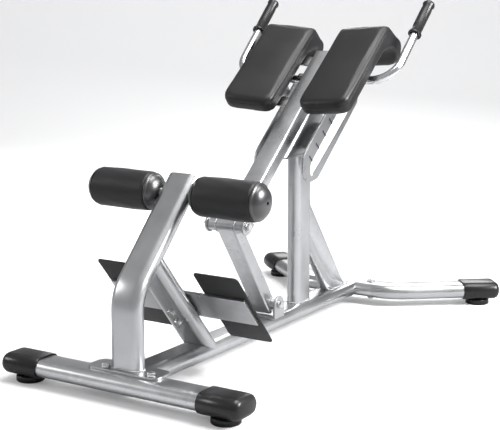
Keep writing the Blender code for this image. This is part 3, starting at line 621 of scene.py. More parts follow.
def grown(line: bpy.types.Object, tree: bpy.types.NodeTree, values: dict[str, object]) -> bpy.types.Mesh:
    """Run a tree on an object, remove the object and return what the tree made.

    Args:
        line: the object that the tree starts from.
        tree: the Geometry Nodes tree.
        values: value for each input, by socket identifier.

    Returns:
        One plain mesh.
    """
    modifier = line.modifiers.new("detail", "NODES")
    modifier.node_group = tree
    for identifier, value in values.items():
        modifier[identifier] = value
    evaluated = line.evaluated_get(bpy.context.evaluated_depsgraph_get())
    made = bpy.data.meshes.new_from_object(evaluated)
    bpy.data.objects.remove(line)
    return made


class RepeatedDetail:
    """Geometry Nodes tree that sets one small shape again and again along lines."""

    def __init__(self, title: str, faces: int) -> None:
        """Build the tree.

        Args:
            title: name of the tree.
            faces: subdivisions of the small rounded shape.
        """
        self.tree = bpy.data.node_groups.new(title, "GeometryNodeTree")
        face = self.tree.interface
        face.new_socket("Geometry", in_out="INPUT", socket_type="NodeSocketGeometry")
        self.sockets = {}
        for label in ("Pitch", "Radius"):
            self.sockets[label] = face.new_socket(label, in_out="INPUT", socket_type="NodeSocketFloat")
        self.sockets["Shape"] = face.new_socket("Shape", in_out="INPUT", socket_type="NodeSocketVector")
        self.sockets["Finish"] = face.new_socket("Finish", in_out="INPUT", socket_type="NodeSocketMaterial")
        self.sockets["Seed"] = face.new_socket("Seed", in_out="INPUT", socket_type="NodeSocketInt")
        face.new_socket("Geometry", in_out="OUTPUT", socket_type="NodeSocketGeometry")
        self.fill(NodeKit(self.tree), faces)

    def fill(self, kit: NodeKit, faces: int) -> None:
        """Join the nodes: line, points, small shape, real mesh, material."""
        given = kit.add("NodeGroupInput")
        line = kit.feed(kit.add("GeometryNodeMeshToCurve"), Mesh=given.outputs["Geometry"])
        points = kit.add("GeometryNodeCurveToPoints", mode="LENGTH")
        kit.feed(points, Curve=line.outputs[0], Length=given.outputs["Pitch"])
        grain = kit.add("GeometryNodeMeshIcoSphere")
        kit.feed(grain, Radius=given.outputs["Radius"], Subdivisions=faces)
        vary = kit.add("FunctionNodeRandomValue", data_type="FLOAT")
        floats = [s for s in vary.inputs if s.type == "VALUE"]
        floats[0].default_value = 0.88
        floats[1].default_value = 1.12
        kit.set(vary.inputs["Seed"], given.outputs["Seed"])
        size = kit.add("ShaderNodeVectorMath", operation="SCALE")
        kit.set(size.inputs[0], given.outputs["Shape"])
        kit.set(size.inputs["Scale"], [s for s in vary.outputs if s.type == "VALUE"][0])
        placed = kit.add("GeometryNodeInstanceOnPoints")
        kit.feed(placed, Points=points.outputs["Points"], Instance=grain.outputs["Mesh"])
        kit.feed(placed, Rotation=points.outputs["Rotation"], Scale=size.outputs[0])
        end_tree(kit, placed, given.outputs["Finish"])

    def along(
        self,
        lines: list[tuple[list[Vector], bool]],
        pitch: float,
        radius: float,
        shape: tuple[float, float, float],
        finish: bpy.types.Material,
        seed: int,
    ) -> bpy.types.Mesh:
        """Make the detail along some lines.

        Args:
            lines: (points, cyclic) for each line.
            pitch: distance between two shapes.
            radius: size of the small shape.
            shape: its stretch across, across and along the line.
            finish: its material.
            seed: seed of the small differences in size.

        Returns:
            One plain mesh with every shape.
        """
        bm = bmesh.new()
        for number, (points, cyclic) in enumerate(lines):
            values = {
                "Pitch": pitch, "Radius": radius, "Finish": finish, "Seed": seed + number, "Shape": shape,
            }
            named = {self.sockets[label].identifier: value for label, value in values.items()}
            made = grown(polyline(f"line_{number}", points, cyclic), self.tree, named)
            bm.from_mesh(made)
            bpy.data.meshes.remove(made)
        return mesh_from(bm, "detail")


def arc(centre: Vector, u: Vector, v: Vector, start: float, end: float, steps: int = 16) -> list[Vector]:
    """Points on an ellipse's arc; u and v are its half axes, angles in degrees."""
    turns = [radians(start + (end - start) * i / steps) for i in range(steps + 1)]
    return [centre + u * cos(a) + v * sin(a) for a in turns]


def oval_line(centre: Vector, flat: Vector, round_off: Vector) -> list[Vector]:
    """Closed line round a flat-oval tube: flat is half its flat side, round_off its rounded edge."""
    edge = flat.normalized() * round_off.length
    right = arc(centre + flat, edge, round_off, -90, 90, 12)
    left = arc(centre - flat, edge, round_off, 90, 270, 12)
    return right + left


# --------------------------------------------------------------- steel structure

@dataclass
class Steelwork:
    """Painted tubes and plates, their welds and closing plates.

    Attributes:
        tubes: run of the polishing lines for each CAD node that is a tube.
        plates: the same for plates and brackets.
        bead: radius of a weld bead.
        bead_pitch: distance between two ripples of a weld.
        half_flat: half the flat side of the frame's tube.
        half_depth: half the smaller side of the frame's tube.
        rail_top: height of the main rail's upper face.
        mast_y: place of the mast's foot, from the rear crossbar.
        mast_bend_z: height at which the mast's leaning line starts.
        mast_reach: length of that line up to the mast's head.
        upright_y: place of the upright, from the rear crossbar.
        beam_ends: lower and upper end of the beam, up the slope.
        beam_faces: its lower and upper face, out of the slope.
        beam_edge: half its width.
        riser: start and end of the riser under the beam, up the slope.
        riser_edge: half the riser's width.
    """

    bench: Bench
    tubes: dict[str, Run] = field(default_factory=lambda: {
        "rear_crossbar": Run.LATERAL,
        "mast": Run.UPRIGHT,
        "main_rail": Run.LENGTHWISE,
        "lower_brace": Run.FALLING,
        "upright": Run.UPRIGHT,
        "guide_sleeve": Run.SLOPING,
        "front_brace": Run.BRACED,
        "front_hub": Run.LATERAL,
        "front_arm_left": Run.LATERAL,
        "front_arm_right": Run.LATERAL,
        "swing_link": Run.LINKED,
        "link_lower_sleeve": Run.LATERAL,
        "link_upper_sleeve": Run.LATERAL,
        "carriage_beam": Run.SLOPING,
        "guide_bar": Run.SLOPING,
    })
    plates: dict[str, Run] = field(default_factory=lambda: {
        "mast_base_plate": Run.LATERAL,
        "footplate_bar": Run.LATERAL,
        "cheek_plate_left": Run.SLOPING,
        "cheek_plate_right": Run.SLOPING,
        "cheek_tie": Run.SLOPING,
        "pivot_bracket": Run.UPRIGHT,
        "beam_yoke": Run.SLOPING,
        "pad_plate_left": Run.SLOPING,
        "pad_plate_right": Run.SLOPING,
        "pad_arm_lower_left": Run.LATERAL,
        "pad_arm_lower_right": Run.LATERAL,
        "pad_arm_upper_left": Run.LATERAL,
        "pad_arm_upper_right": Run.LATERAL,
        "index_tab": Run.SLOPING,
    })
    bead: float = 0.0022
    bead_pitch: float = 0.0021
    half_flat: float = 0.0225
    half_depth: float = 0.0225
    rail_top: float = 0.069
    mast_y: float = 0.023
    mast_bend_z: float = 0.2625
    mast_reach: float = 0.3584
    upright_y: float = 0.862
    beam_ends: tuple[float, float] = (0.6288, 1.2984)
    beam_faces: tuple[float, float] = (-0.0636, -0.0232)
    beam_edge: float = 0.0304
    riser: tuple[float, float] = (1.2455, 1.2965)
    riser_edge: float = 0.0128

    def dress(self) -> None:
        """Skin every tube and plate in silver paint."""
        for node, run in self.tubes.items():
            self.bench.skin(node, self.bench.palette.paint[run])
        for node, run in self.plates.items():
            self.bench.skin(node, self.bench.palette.paint[run], edge=0.0008)

    def frame_lines(self) -> list[tuple[list[Vector], bool]]:
        """Weld lines on the fixed frame."""
        flat = self.half_flat
        deep = self.half_depth
        lift = Z * 0.0006
        mast_low = station(0, self.mast_y, self.rail_top + 0.0069)
        upright_low = station(0, self.upright_y, self.rail_top + 0.001)
        fall = Vector((0, cos(BRACE_FALL), -sin(BRACE_FALL)))
        lines = [
            (oval_line(mast_low + lift, X * flat, Y * deep), True),
            (oval_line(upright_low, Y * flat, X * deep), True),
            (oval_line(station(0, self.upright_y, 0.5164), Y * flat, X * deep), True),
        ]
        for side in (-1, 1):
            brace_low = station(side * 0.0226, 1.024, self.rail_top + 0.001)
            lines.append(([brace_low, brace_low + Y * 0.108], False))
            tie = X * side * 0.0222
            brace_high = station(0, 0.8875, 0.2590) + tie
            lines.append(([brace_high, brace_high + Z * 0.118], False))
            rear = station(side * 0.020, 0.0462, self.rail_top - 0.0012)
            lines.append(([rear, rear - X * side * 0.040], False))
            hub = station(side * 0.020, 1.1538, self.rail_top - 0.0012)
            lines.append(([hub, hub - X * side * 0.040], False))
            foot = station(side * 0.030, 0.352, self.rail_top)
            lines.append(([foot - fall * 0.002, foot - fall * 0.002 - X * side * 0.060], False))
            bracket = station(side * 0.0588, 0.631, self.rail_top + 0.001)
            lines.append(([bracket - X * side * 0.036, bracket - X * side * 0.006], False))
            seat = on_slope(1.018, -0.1668, side * 0.0765)
            up = on_slope(1.122, -0.1668, side * 0.0765)
            lines.append(([seat, up], False))
        return lines

    def link_lines(self) -> list[tuple[list[Vector], bool]]:
        """Weld lines where the two sleeves pass through the swing link."""
        lines = []
        stations = ((station(0, 0.655, 0.108), 0.0158), (station(0, 0.4756, 0.365), 0.0203))
        for centre, radius in stations:
            for side in (-1, 1):
                middle = centre + X * side * 0.0308
                lines.append((arc(middle, Y * radius, Z * radius, 0, 342, 30), True))
        return lines

    def carriage_lines(self) -> list[tuple[list[Vector], bool]]:
        """Weld lines round the beam's end at the yoke, the riser and the pad arms."""
        lines = []
        low, high = self.beam_faces
        edge = self.beam_edge
        foot = self.beam_ends[0]
        corners = [(foot, high, -edge), (foot, high, edge), (foot, low, edge), (foot, low, -edge)]
        lines.append(([on_slope(*corner) for corner in corners], True))
        under = low - 0.0008
        start, end = self.riser
        half = self.riser_edge
        corners = [(start, under, -half), (start, under, half), (end, under, half), (end, under, -half)]
        lines.append(([on_slope(*corner) for corner in corners], True))
        for side in (-1, 1):
            centre = on_slope(1.192, -0.0472, side * (edge + 0.0006))
            lines.append((arc(centre, Y * 0.0129, Z * 0.0129, 0, 340, 24), True))
        return lines

    def weld(self) -> None:
        """Lay rippled beads along every weld line."""
        beads = RepeatedDetail("weld_ripples", 2)
        finish = self.bench.palette.weld
        groups = (
            ("frame_welds", self.frame_lines(), Body.FRAME, 11),
            ("link_welds", self.link_lines(), Body.LINK, 12),
            ("carriage_welds", self.carriage_lines(), Body.CARRIAGE, 13),
        )
        for name, lines, body, seed in groups:
            mesh = beads.along(lines, self.bead_pitch, self.bead, (1.0, 1.0, 0.72), finish, seed)
            self.bench.add(name, mesh, finish, body, smooth=60)

    def close_ends(self) -> None:
        """Close the mast's head with a plate and the beam's upper end with a plug."""
        palette = self.bench.palette
        up = Vector((0, sin(MAST_LEAN), cos(MAST_LEAN)))
        front = Vector((0, cos(MAST_LEAN), -sin(MAST_LEAN)))
        head = station(0, self.mast_y, self.mast_bend_z) + up * self.mast_reach
        self.end_plate(
            "mast_head_plate", head, up, front, (0.0447, 0.0222), 0.0017,
            palette.paint[Run.LATERAL], Body.FRAME)
        rise = Vector((0, cos(GUIDE_SLOPE), sin(GUIDE_SLOPE)))
        out = Vector((0, -sin(GUIDE_SLOPE), cos(GUIDE_SLOPE)))
        top = on_slope(self.beam_ends[1], -0.0434)
        self.end_plate(
            "beam_end_plug", top, rise, out, (0.0296, 0.0196), 0.0014,
            palette.plastic, Body.CARRIAGE, 0.004)

    def end_plate(
        self,
        name: str,
        centre: Vector,
        along: Vector,
        deep: Vector,
        half: tuple[float, float],
        thickness: float,
        material: bpy.types.Material,
        body: Body,
        corner: float | None = None,
    ) -> None:
        """Add a thin domed plate that closes a tube.

        Args:
            name: name of the piece.
            centre: middle of its inner face.
            along: the tube's direction.
            deep: direction of the tube's smaller side.
            half: half width and half depth.
            thickness: thickness of the plate.
            material: its material.
            body: the body that it moves with.
            corner: corner radius; left out, the edges are half round.
        """
        radius = corner if corner else half[1] - 0.0001
        rings = []
        for shrink, height in ((0.0, 0.0), (0.0, thickness * 0.6), (0.0008, thickness)):
            ring = []
            for turn in range(48):
                a = 2 * pi * (turn + 0.5) / 48
                flat_u = half[0] - radius
                flat_v = half[1] - radius
                u = (flat_u if cos(a) > 0 else -flat_u) + (radius - shrink) * cos(a)
                v = (flat_v if sin(a) > 0 else -flat_v) + (radius - shrink) * sin(a)
                ring.append(centre + X * u + deep * v + along * height)
            rings.append(ring)
        self.bench.add(name, mesh_from(loft(rings), name), material, body)


# --------------------------------------------------------------------- fasteners

@dataclass
class Fasteners:
    """Bolts, axle, housing and the small screws that hold the pads and foot plates."""

    bench: Bench
    nodes: tuple[str, ...] = (
        "base_bolt_left", "base_bolt_right", "footplate_bolt_upper", "footplate_bolt_lower",
        "hub_bolt_left", "hub_bolt_right", "lower_hinge_bolt", "upper_hinge_bolt",
        "roller_axle", "index_housing",
    )
    screw_radius: float = 0.0062
    screw_height: float = 0.0026
    plate_columns: tuple[float, float] = (0.115, 0.193)
    plate_rows: tuple[float, float] = (0.103, 0.163)
    pad_columns: tuple[float, float] = (-0.040, 0.040)
    pad_rows: tuple[float, float] = (-0.145, 0.040)

    def dress(self) -> None:
        """Skin the bolts, the axle and the housing in zinc plating."""
        for node in self.nodes:
            self.bench.skin(node, self.bench.palette.zinc, edge=0.0003)

    def screw_tree(self) -> tuple[bpy.types.NodeTree, dict[str, str]]:
        """Build the tree that sets a round screw head on each point.

        Returns:
            The tree and the identifiers of its inputs, by name.
        """
        tree = bpy.data.node_groups.new("screw_heads", "GeometryNodeTree")
        face = tree.interface
        face.new_socket("Geometry", in_out="INPUT", socket_type="NodeSocketGeometry")
        names = {}
        kinds = {"Radius": "Float", "Height": "Float", "Turn": "Rotation", "Finish": "Material"}
        for label, kind in kinds.items():
            socket = face.new_socket(label, in_out="INPUT", socket_type=f"NodeSocket{kind}")
            names[label] = socket.identifier
        face.new_socket("Geometry", in_out="OUTPUT", socket_type="NodeSocketGeometry")
        kit = NodeKit(tree)
        given = kit.add("NodeGroupInput")
        radius = given.outputs["Radius"]
        narrow = kit.math("MULTIPLY", radius, 0.62)
        head = kit.add("GeometryNodeMeshCone")
        kit.feed(head, Vertices=20, Radius_Bottom=radius, Radius_Top=narrow, Depth=given.outputs["Height"])
        placed = kit.add("GeometryNodeInstanceOnPoints")
        kit.feed(placed, Points=given.outputs["Geometry"], Instance=head.outputs["Mesh"])
        kit.feed(placed, Rotation=given.outputs["Turn"])
        end_tree(kit, placed, given.outputs["Finish"])
        return tree, names

    def screws(
        self, tree: bpy.types.NodeTree, names: dict[str, str], points: list[Vector], facing: Vector
    ) -> bpy.types.Mesh:
        """Set screw heads on points.

        Args:
            tree: the tree of screw heads.
            names: identifiers of its inputs.
            points: where the heads sit.
            facing: the way that the heads look.

        Returns:
            One mesh with every head.
        """
        return grown(polyline("screw_points", points), tree, {
            names["Radius"]: self.screw_radius,
            names["Height"]: self.screw_height,
            names["Turn"]: facing.to_track_quat("Z", "Y").to_euler(),
            names["Finish"]: self.bench.palette.zinc,
        })

    def fit_screws(self, pads: list[PadForm]) -> None:
        """Fit four screws under each pad plate and four on each foot plate.

        Args:
            pads: the pads, for where their plates lie.
        """
        tree, names = self.screw_tree()
        down = Vector((0, cos(BRACE_FALL), -sin(BRACE_FALL)))
        front = Vector((0, sin(BRACE_FALL), cos(BRACE_FALL)))
        edge = station(0, 0.177, 0.298)
        for name, side in SIDES:
            points = []
            for across in self.plate_columns:
                for along in self.plate_rows:
                    points.append(edge + X * side * across + down * along + front * 0.0052)
            mesh = self.screws(tree, names, points, front)
            self.bench.add(f"footplate_screws_{name}", mesh, self.bench.palette.zinc, Body.FRAME)
        for pad in pads:
            points = []
            for across in self.pad_columns:
                for along in self.pad_rows:
                    points.append(pad.point(across, along, -pad.thickness - 0.0056))
            mesh = self.screws(tree, names, points, -pad.out)
            self.bench.add(f"pad_screws_{pad.name}", mesh, self.bench.palette.zinc, Body.CARRIAGE)


# -------------------------------------------------------------------- soft pieces

@dataclass
class PadForm:
    """One hip pad: a board-backed cushion with rounded corners and a hooked nose."""

    name: str
    side: int
    width: float = 0.166
    length: float = 0.348
    thickness: float = 0.050
    slope: float = radians(38.5)
    tilt: float = radians(5.5)
    rounding: float = 0.0105
    start_inset: float = 0.0012
    plan_corner: float = 0.034
    nose_corner: float = 0.050
    nose_depth: float = 0.151
    end_reach: float = 0.060
    nose_reach: float = 0.085
    nose_start: float = 0.060
    plate_end: float = 0.068
    seam_stop: float = 0.030
    crown: float = 0.0025

    def __post_init__(self) -> None:
        """Work out the pad's own directions."""
        self.along = Vector((0, cos(self.slope), sin(self.slope)))
        level = Vector((0, -sin(self.slope), cos(self.slope)))
        self.across = (X * cos(self.tilt) + level * self.side * sin(self.tilt)).normalized()
        self.out = self.across.cross(self.along)
        self.centre = station(self.side * 0.1255, 0.8878, 0.7889)

    def point(self, u: float, a: float, h: float) -> Vector:
        """Point across, along and out from the middle of the pad's top."""
        return self.centre + self.across * u + self.along * a + self.out * h

    def outline(self) -> list[Vector]:
        """Side view of the pad as (along, out) points, from a smooth curve through its knots."""
        half = self.length / 2
        knots = [
            (-half, -0.030), (-half, -0.016), (-half + 0.004, -0.005), (-half + 0.016, 0.0),
            (-0.05, 0.0), (0.06, 0.0), (half - 0.018, -0.0005), (half - 0.003, -0.006),
            (half + 0.006, -0.018), (half + 0.020, -0.068), (half + 0.028, -0.100),
            (half + 0.026, -0.122), (half + 0.010, -0.142), (half - 0.010, -0.151),
            (half - 0.025, -0.143), (half - 0.028, -0.125), (half - 0.024, -0.100),
            (half - 0.030, -0.080), (half - 0.044, -0.066), (half - 0.070, -0.053),
            (half - 0.095, -self.thickness), (0.0, -self.thickness),
            (-half + 0.018, -self.thickness), (-half + 0.004, -0.045),
        ]
        smooth = []
        count = len(knots)
        for i in range(count):
            p = [Vector((*knots[(i + k) % count], 0)) for k in (-1, 0, 1, 2)]
            reach = (p[2] - p[1]).length
            steps = max(2, round(reach / 0.006))
            for step in range(steps):
                t = step / steps
                smooth.append(self.curve_point(p, t))
        return smooth

    @staticmethod
    def curve_point(p: list[Vector], t: float) -> Vector:
        """Point on a smooth cubic between the two middle points, aimed by their neighbours."""
        reach = (p[2] - p[1]).length
        into = (p[2] - p[0]).normalized() * reach
        leave = (p[3] - p[1]).normalized() * reach
        a = 2 * t ** 3 - 3 * t ** 2 + 1
        b = t ** 3 - 2 * t ** 2 + t
        c = -2 * t ** 3 + 3 * t ** 2
        d = t ** 3 - t ** 2
        return p[1] * a + into * b + p[2] * c + leave * d

    def limit(self, point: Vector, u: float) -> Vector:
        """Round the pad's corners in plan by drawing its ends in near the sides.

        Args:
            point: (along, out) point of the side view.
            u: distance across the pad from its middle.

        Returns:
            The point's place at that distance.
        """
        half = self.width / 2
        a, h = point.x, point.y
        past = abs(u) - (half - self.plan_corner)
        near = -self.length / 2
        if past > 0 and a < near + self.end_reach:
            inset = self.plan_corner - sqrt(max(0.0, self.plan_corner ** 2 - past ** 2))
            a += inset * (near + self.end_reach - a) / self.end_reach
        past = abs(u) - (half - self.nose_corner)
        top = self.nose_reach - self.nose_depth
        if past > 0 and h < top and a > self.length / 2 - self.nose_start:
            inset = self.nose_corner - sqrt(max(0.0, self.nose_corner ** 2 - past ** 2))
            h += inset * (top - h) / self.nose_reach
        return Vector((a, h, 0))

    def rough_shape(self) -> bmesh.types.BMesh:
        """Closed form a little smaller than the finished pad."""
        outline = self.outline()
        count = len(outline)
        inward = []
        for i in range(count):
            chord = outline[(i + 1) % count] - outline[i - 1]
            inward.append(Vector((chord.y, -chord.x, 0)).normalized())
        half = self.width / 2 - self.start_inset
        rings = []
        steps = 34
        for step in range(steps + 1):
            u = -half * cos(pi * step / steps)
            from_side = half - abs(u)
            sink = 0.0
            if from_side < self.rounding:
                sink = self.rounding - sqrt(max(0.0, self.rounding ** 2 - (self.rounding - from_side) ** 2))
            sink += self.start_inset
            ring = []
            for point, inner in zip(outline, inward):
                moved = self.limit(point + inner * sink, u)
                lift = self.crown * (1 - (u / half) ** 2) if point.y > -0.02 else 0.0
                ring.append(self.point(u, moved.x, moved.y + lift))
            rings.append(ring)
        return loft(rings)


@dataclass
class Upholsterer:
    """Makes the hip pads and the ankle rollers' foam sleeves."""

    bench: Bench
    voxel: float = 0.0045
    pressure: float = 4.0
    frames: int = 20
    most_swell: float = 0.0022
    evening: int = 60
    seam_drop: float = 0.017
    stitch_pitch: float = 0.0052
    sleeve_bore: float = 0.0185
    sleeve_sides: int = 96

    def puff(self, piece: bpy.types.Object) -> None:
        """Blow the cover up with a short cloth simulation and keep the result.

        Args:
            piece: closed mesh object in place, not yet riding on a body.
        """
        remesh = piece.modifiers.new("even_faces", "REMESH")
        remesh.mode = "VOXEL"
        remesh.voxel_size = self.voxel
        self.bake(piece)
        settle = piece.modifiers.new("settle", "SMOOTH")
        settle.factor = 0.5
        settle.iterations = 6
        self.bake(piece)
        self.blow(piece)
        finer = piece.modifiers.new("finer", "SUBSURF")
        finer.levels = 1
        finer.render_levels = 1
        self.bake(piece)

    def blow(self, piece: bpy.types.Object) -> None:
        """Run the cloth and limit how far each point moves."""
        scene = bpy.context.scene
        rest = np.empty(len(piece.data.vertices) * 3, np.float32)
        piece.data.vertices.foreach_get("co", rest)
        cloth = piece.modifiers.new("cover", "CLOTH")
        cloth.settings.use_pressure = True
        cloth.settings.uniform_pressure_force = self.pressure
        cloth.settings.effector_weights.gravity = 0
        cloth.settings.quality = 5
        cloth.settings.tension_stiffness = 40
        cloth.settings.compression_stiffness = 40
        cloth.settings.bending_stiffness = 4
        cloth.collision_settings.use_collision = False
        for frame_number in range(1, self.frames + 1):
            scene.frame_set(frame_number)
        evaluated = piece.evaluated_get(bpy.context.evaluated_depsgraph_get())
        moved = np.empty_like(rest)
        evaluated.data.vertices.foreach_get("co", moved)
        piece.modifiers.remove(cloth)
        scene.frame_set(1)
        normals = np.empty_like(rest)
        piece.data.vertices.foreach_get("normal", normals)
        normals = normals.reshape(-1, 3)
        swell = ((moved - rest).reshape(-1, 3) * normals).sum(axis=1)
        swell = np.clip(self.evened(piece.data, swell), 0.0, self.most_swell)
        piece.data.vertices.foreach_set("co", (rest.reshape(-1, 3) + normals * swell[:, None]).ravel())
        piece.data.update()

    def evened(self, mesh: bpy.types.Mesh, values: np.ndarray) -> np.ndarray:
        """Spread each point's value over its neighbours, as a taut cover does.

        Args:
            mesh: the mesh that joins the points.
            values: one value for each point.

        Returns:
            The evened values.
        """
        edges = np.empty(len(mesh.edges) * 2, np.int32)
        mesh.edges.foreach_get("vertices", edges)
        first, second = edges.reshape(-1, 2).T
        count = np.bincount(edges, minlength=len(values))
        for _ in range(self.evening):
            total = np.bincount(first, values[second], len(values))
            total += np.bincount(second, values[first], len(values))
            values = 0.5 * values + 0.5 * total / count
        return values

    @staticmethod
    def bake(piece: bpy.types.Object) -> None:
        """Apply every modifier of a piece."""
        evaluated = piece.evaluated_get(bpy.context.evaluated_depsgraph_get())
        mesh = bpy.data.meshes.new_from_object(evaluated)
        piece.modifiers.clear()
        piece.data = mesh

    def hold_back(self, mesh: bpy.types.Mesh, form: PadForm) -> None:
        """Press the pad's underside flat against its plate.

        Args:
            mesh: the pad's mesh.
            form: the pad's sizes.
        """
        floor = -form.thickness
        for vertex in mesh.vertices:
            offset = vertex.co - form.centre
            a = offset.dot(form.along)
            h = offset.dot(form.out)
            if a < form.length / 2 - form.plate_end and h < floor:
                vertex.co += form.out * (floor - h)

    def seam_path(self, form: PadForm, mesh: bpy.types.Mesh, drop: float, lift: float) -> list[Vector]:
        """Line round the pad's side walls, laid on its surface.

        Args:
            form: the pad's sizes.
            mesh: the pad's finished mesh.
            drop: how far below the top the line runs.
            lift: how far it stands out of the surface.

        Returns:
            Points of an open line from nose to nose.
        """
        half_w = form.width / 2
        half_l = form.length / 2
        corner = form.plan_corner
        top = half_l - form.seam_stop
        path = [(half_w, top - (top + half_l - corner) * i / 40) for i in range(41)]
        for step in range(1, 12):
            a = radians(90 * step / 12)
            path.append((half_w - corner + corner * cos(a), -half_l + corner - corner * sin(a)))
        path += [(half_w - corner - (2 * half_w - 2 * corner) * i / 20, -half_l) for i in range(21)]
        mirrored = [(-u, a) for u, a in reversed(path[:52])]
        path += mirrored
        tree = BVHTree.FromPolygons(
            [v.co for v in mesh.vertices], [tuple(p.vertices) for p in mesh.polygons])
        line = []
        for u, a in path:
            guess = form.point(u, a, -drop)
            found, normal, _, _ = tree.find_nearest(guess)
            line.append(found + normal * lift)
        return line

    def cord_mesh(self, line: list[Vector], radius: float, sides: int = 8) -> bpy.types.Mesh:
        """Thin round cord along a line."""
        rings = []
        last = len(line) - 1
        for i, point in enumerate(line):
            along = (line[min(i + 1, last)] - line[max(i - 1, 0)]).normalized()
            u = along.cross(Vector((0.3, 0.2, 0.93))).normalized()
            v = along.cross(u)
            reach = radius * (0.4 if i in (0, last) else 1.0)
            turns = [2 * pi * k / sides for k in range(sides)]
            rings.append([point + (u * cos(t) + v * sin(t)) * reach for t in turns])
        return mesh_from(loft(rings), "cord")

    def make_pad(self, form: PadForm, stitches: RepeatedDetail) -> None:
        """Make one hip pad with its seam and stitches.

        Args:
            form: the pad's sizes.
            stitches: the tree of stitches.
        """
        palette = self.bench.palette
        shape = bpy.data.objects.new("pad_shape", mesh_from(form.rough_shape(), "pad_shape"))
        bpy.context.scene.collection.objects.link(shape)
        self.puff(shape)
        mesh = shape.data
        bpy.data.objects.remove(shape)
        self.hold_back(mesh, form)
        name = f"hip_pad_cover_{form.name}"
        pad = self.bench.add(name, mesh, palette.vinyl, Body.CARRIAGE, (f"hip_pad_{form.name}",), 180)
        seam = self.cord_mesh(self.seam_path(form, mesh, self.seam_drop, 0.0), 0.0010)
        self.bench.add(f"pad_seam_{form.name}", seam, palette.vinyl, Body.CARRIAGE, smooth=60)
        line = self.seam_path(form, mesh, self.seam_drop + 0.0042, 0.0001)
        thread = stitches.along(
            [(line, False)], self.stitch_pitch, 0.0016, (0.28, 0.28, 1.0), palette.thread, 5)
        self.bench.add(f"pad_stitches_{form.name}", thread, palette.thread, Body.CARRIAGE, smooth=60)

    def make_roller(self, name: str, side: int) -> None:
        """Make one roller's foam sleeve, crowned along its length and rounded at its ends.

        Args:
            name: left or right.
            side: -1 for the left roller, 1 for the right one.
        """
        low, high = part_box(f"roller_foam_{name}")
        middle = (low + high) / 2
        half = (high.x - low.x) / 2
        radius = (high.z - low.z) / 2
        profile = [(-half, self.sleeve_bore), (-half, radius - 0.0095), (-half + 0.0008, radius - 0.0065)]
        for step in range(1, 9):
            turn = radians(90 * step / 8)
            profile.append((-half + 0.0008 + 0.0075 * (1 - cos(turn)), radius - 0.0072 + 0.0066 * sin(turn)))
        for step in range(1, 24):
            t = step / 24
            x = -half + 0.0083 + (2 * half - 0.0166) * t
            profile.append((x, radius - 0.0006 + 0.0011 * sin(pi * t)))
        profile += [(-x, r) for x, r in reversed(profile[:11])]
        rings = round_rings(profile, middle, X, self.sleeve_sides)
        for (along, reach), ring in zip(profile, rings):
            for i, point in enumerate(ring):
                turn = 2 * pi * i / self.sleeve_sides
                ripple = 0.00035 * sin(5 * turn + 40 * along) + 0.0002 * sin(11 * turn - 70 * along)
                if reach > 0.04:
                    ring[i] = point + (point - middle - X * along).normalized() * ripple
        mesh = mesh_from(loft(rings, closed=True), "foam")
        body = Body.ROLLER_LEFT if side < 0 else Body.ROLLER_RIGHT
        stands_for = (f"roller_foam_{name}",)
        foam = self.bench.add(f"foam_sleeve_{name}", mesh, self.bench.palette.foam, body, stands_for, 70)


# -------------------------------------------------------------------- hard fittings

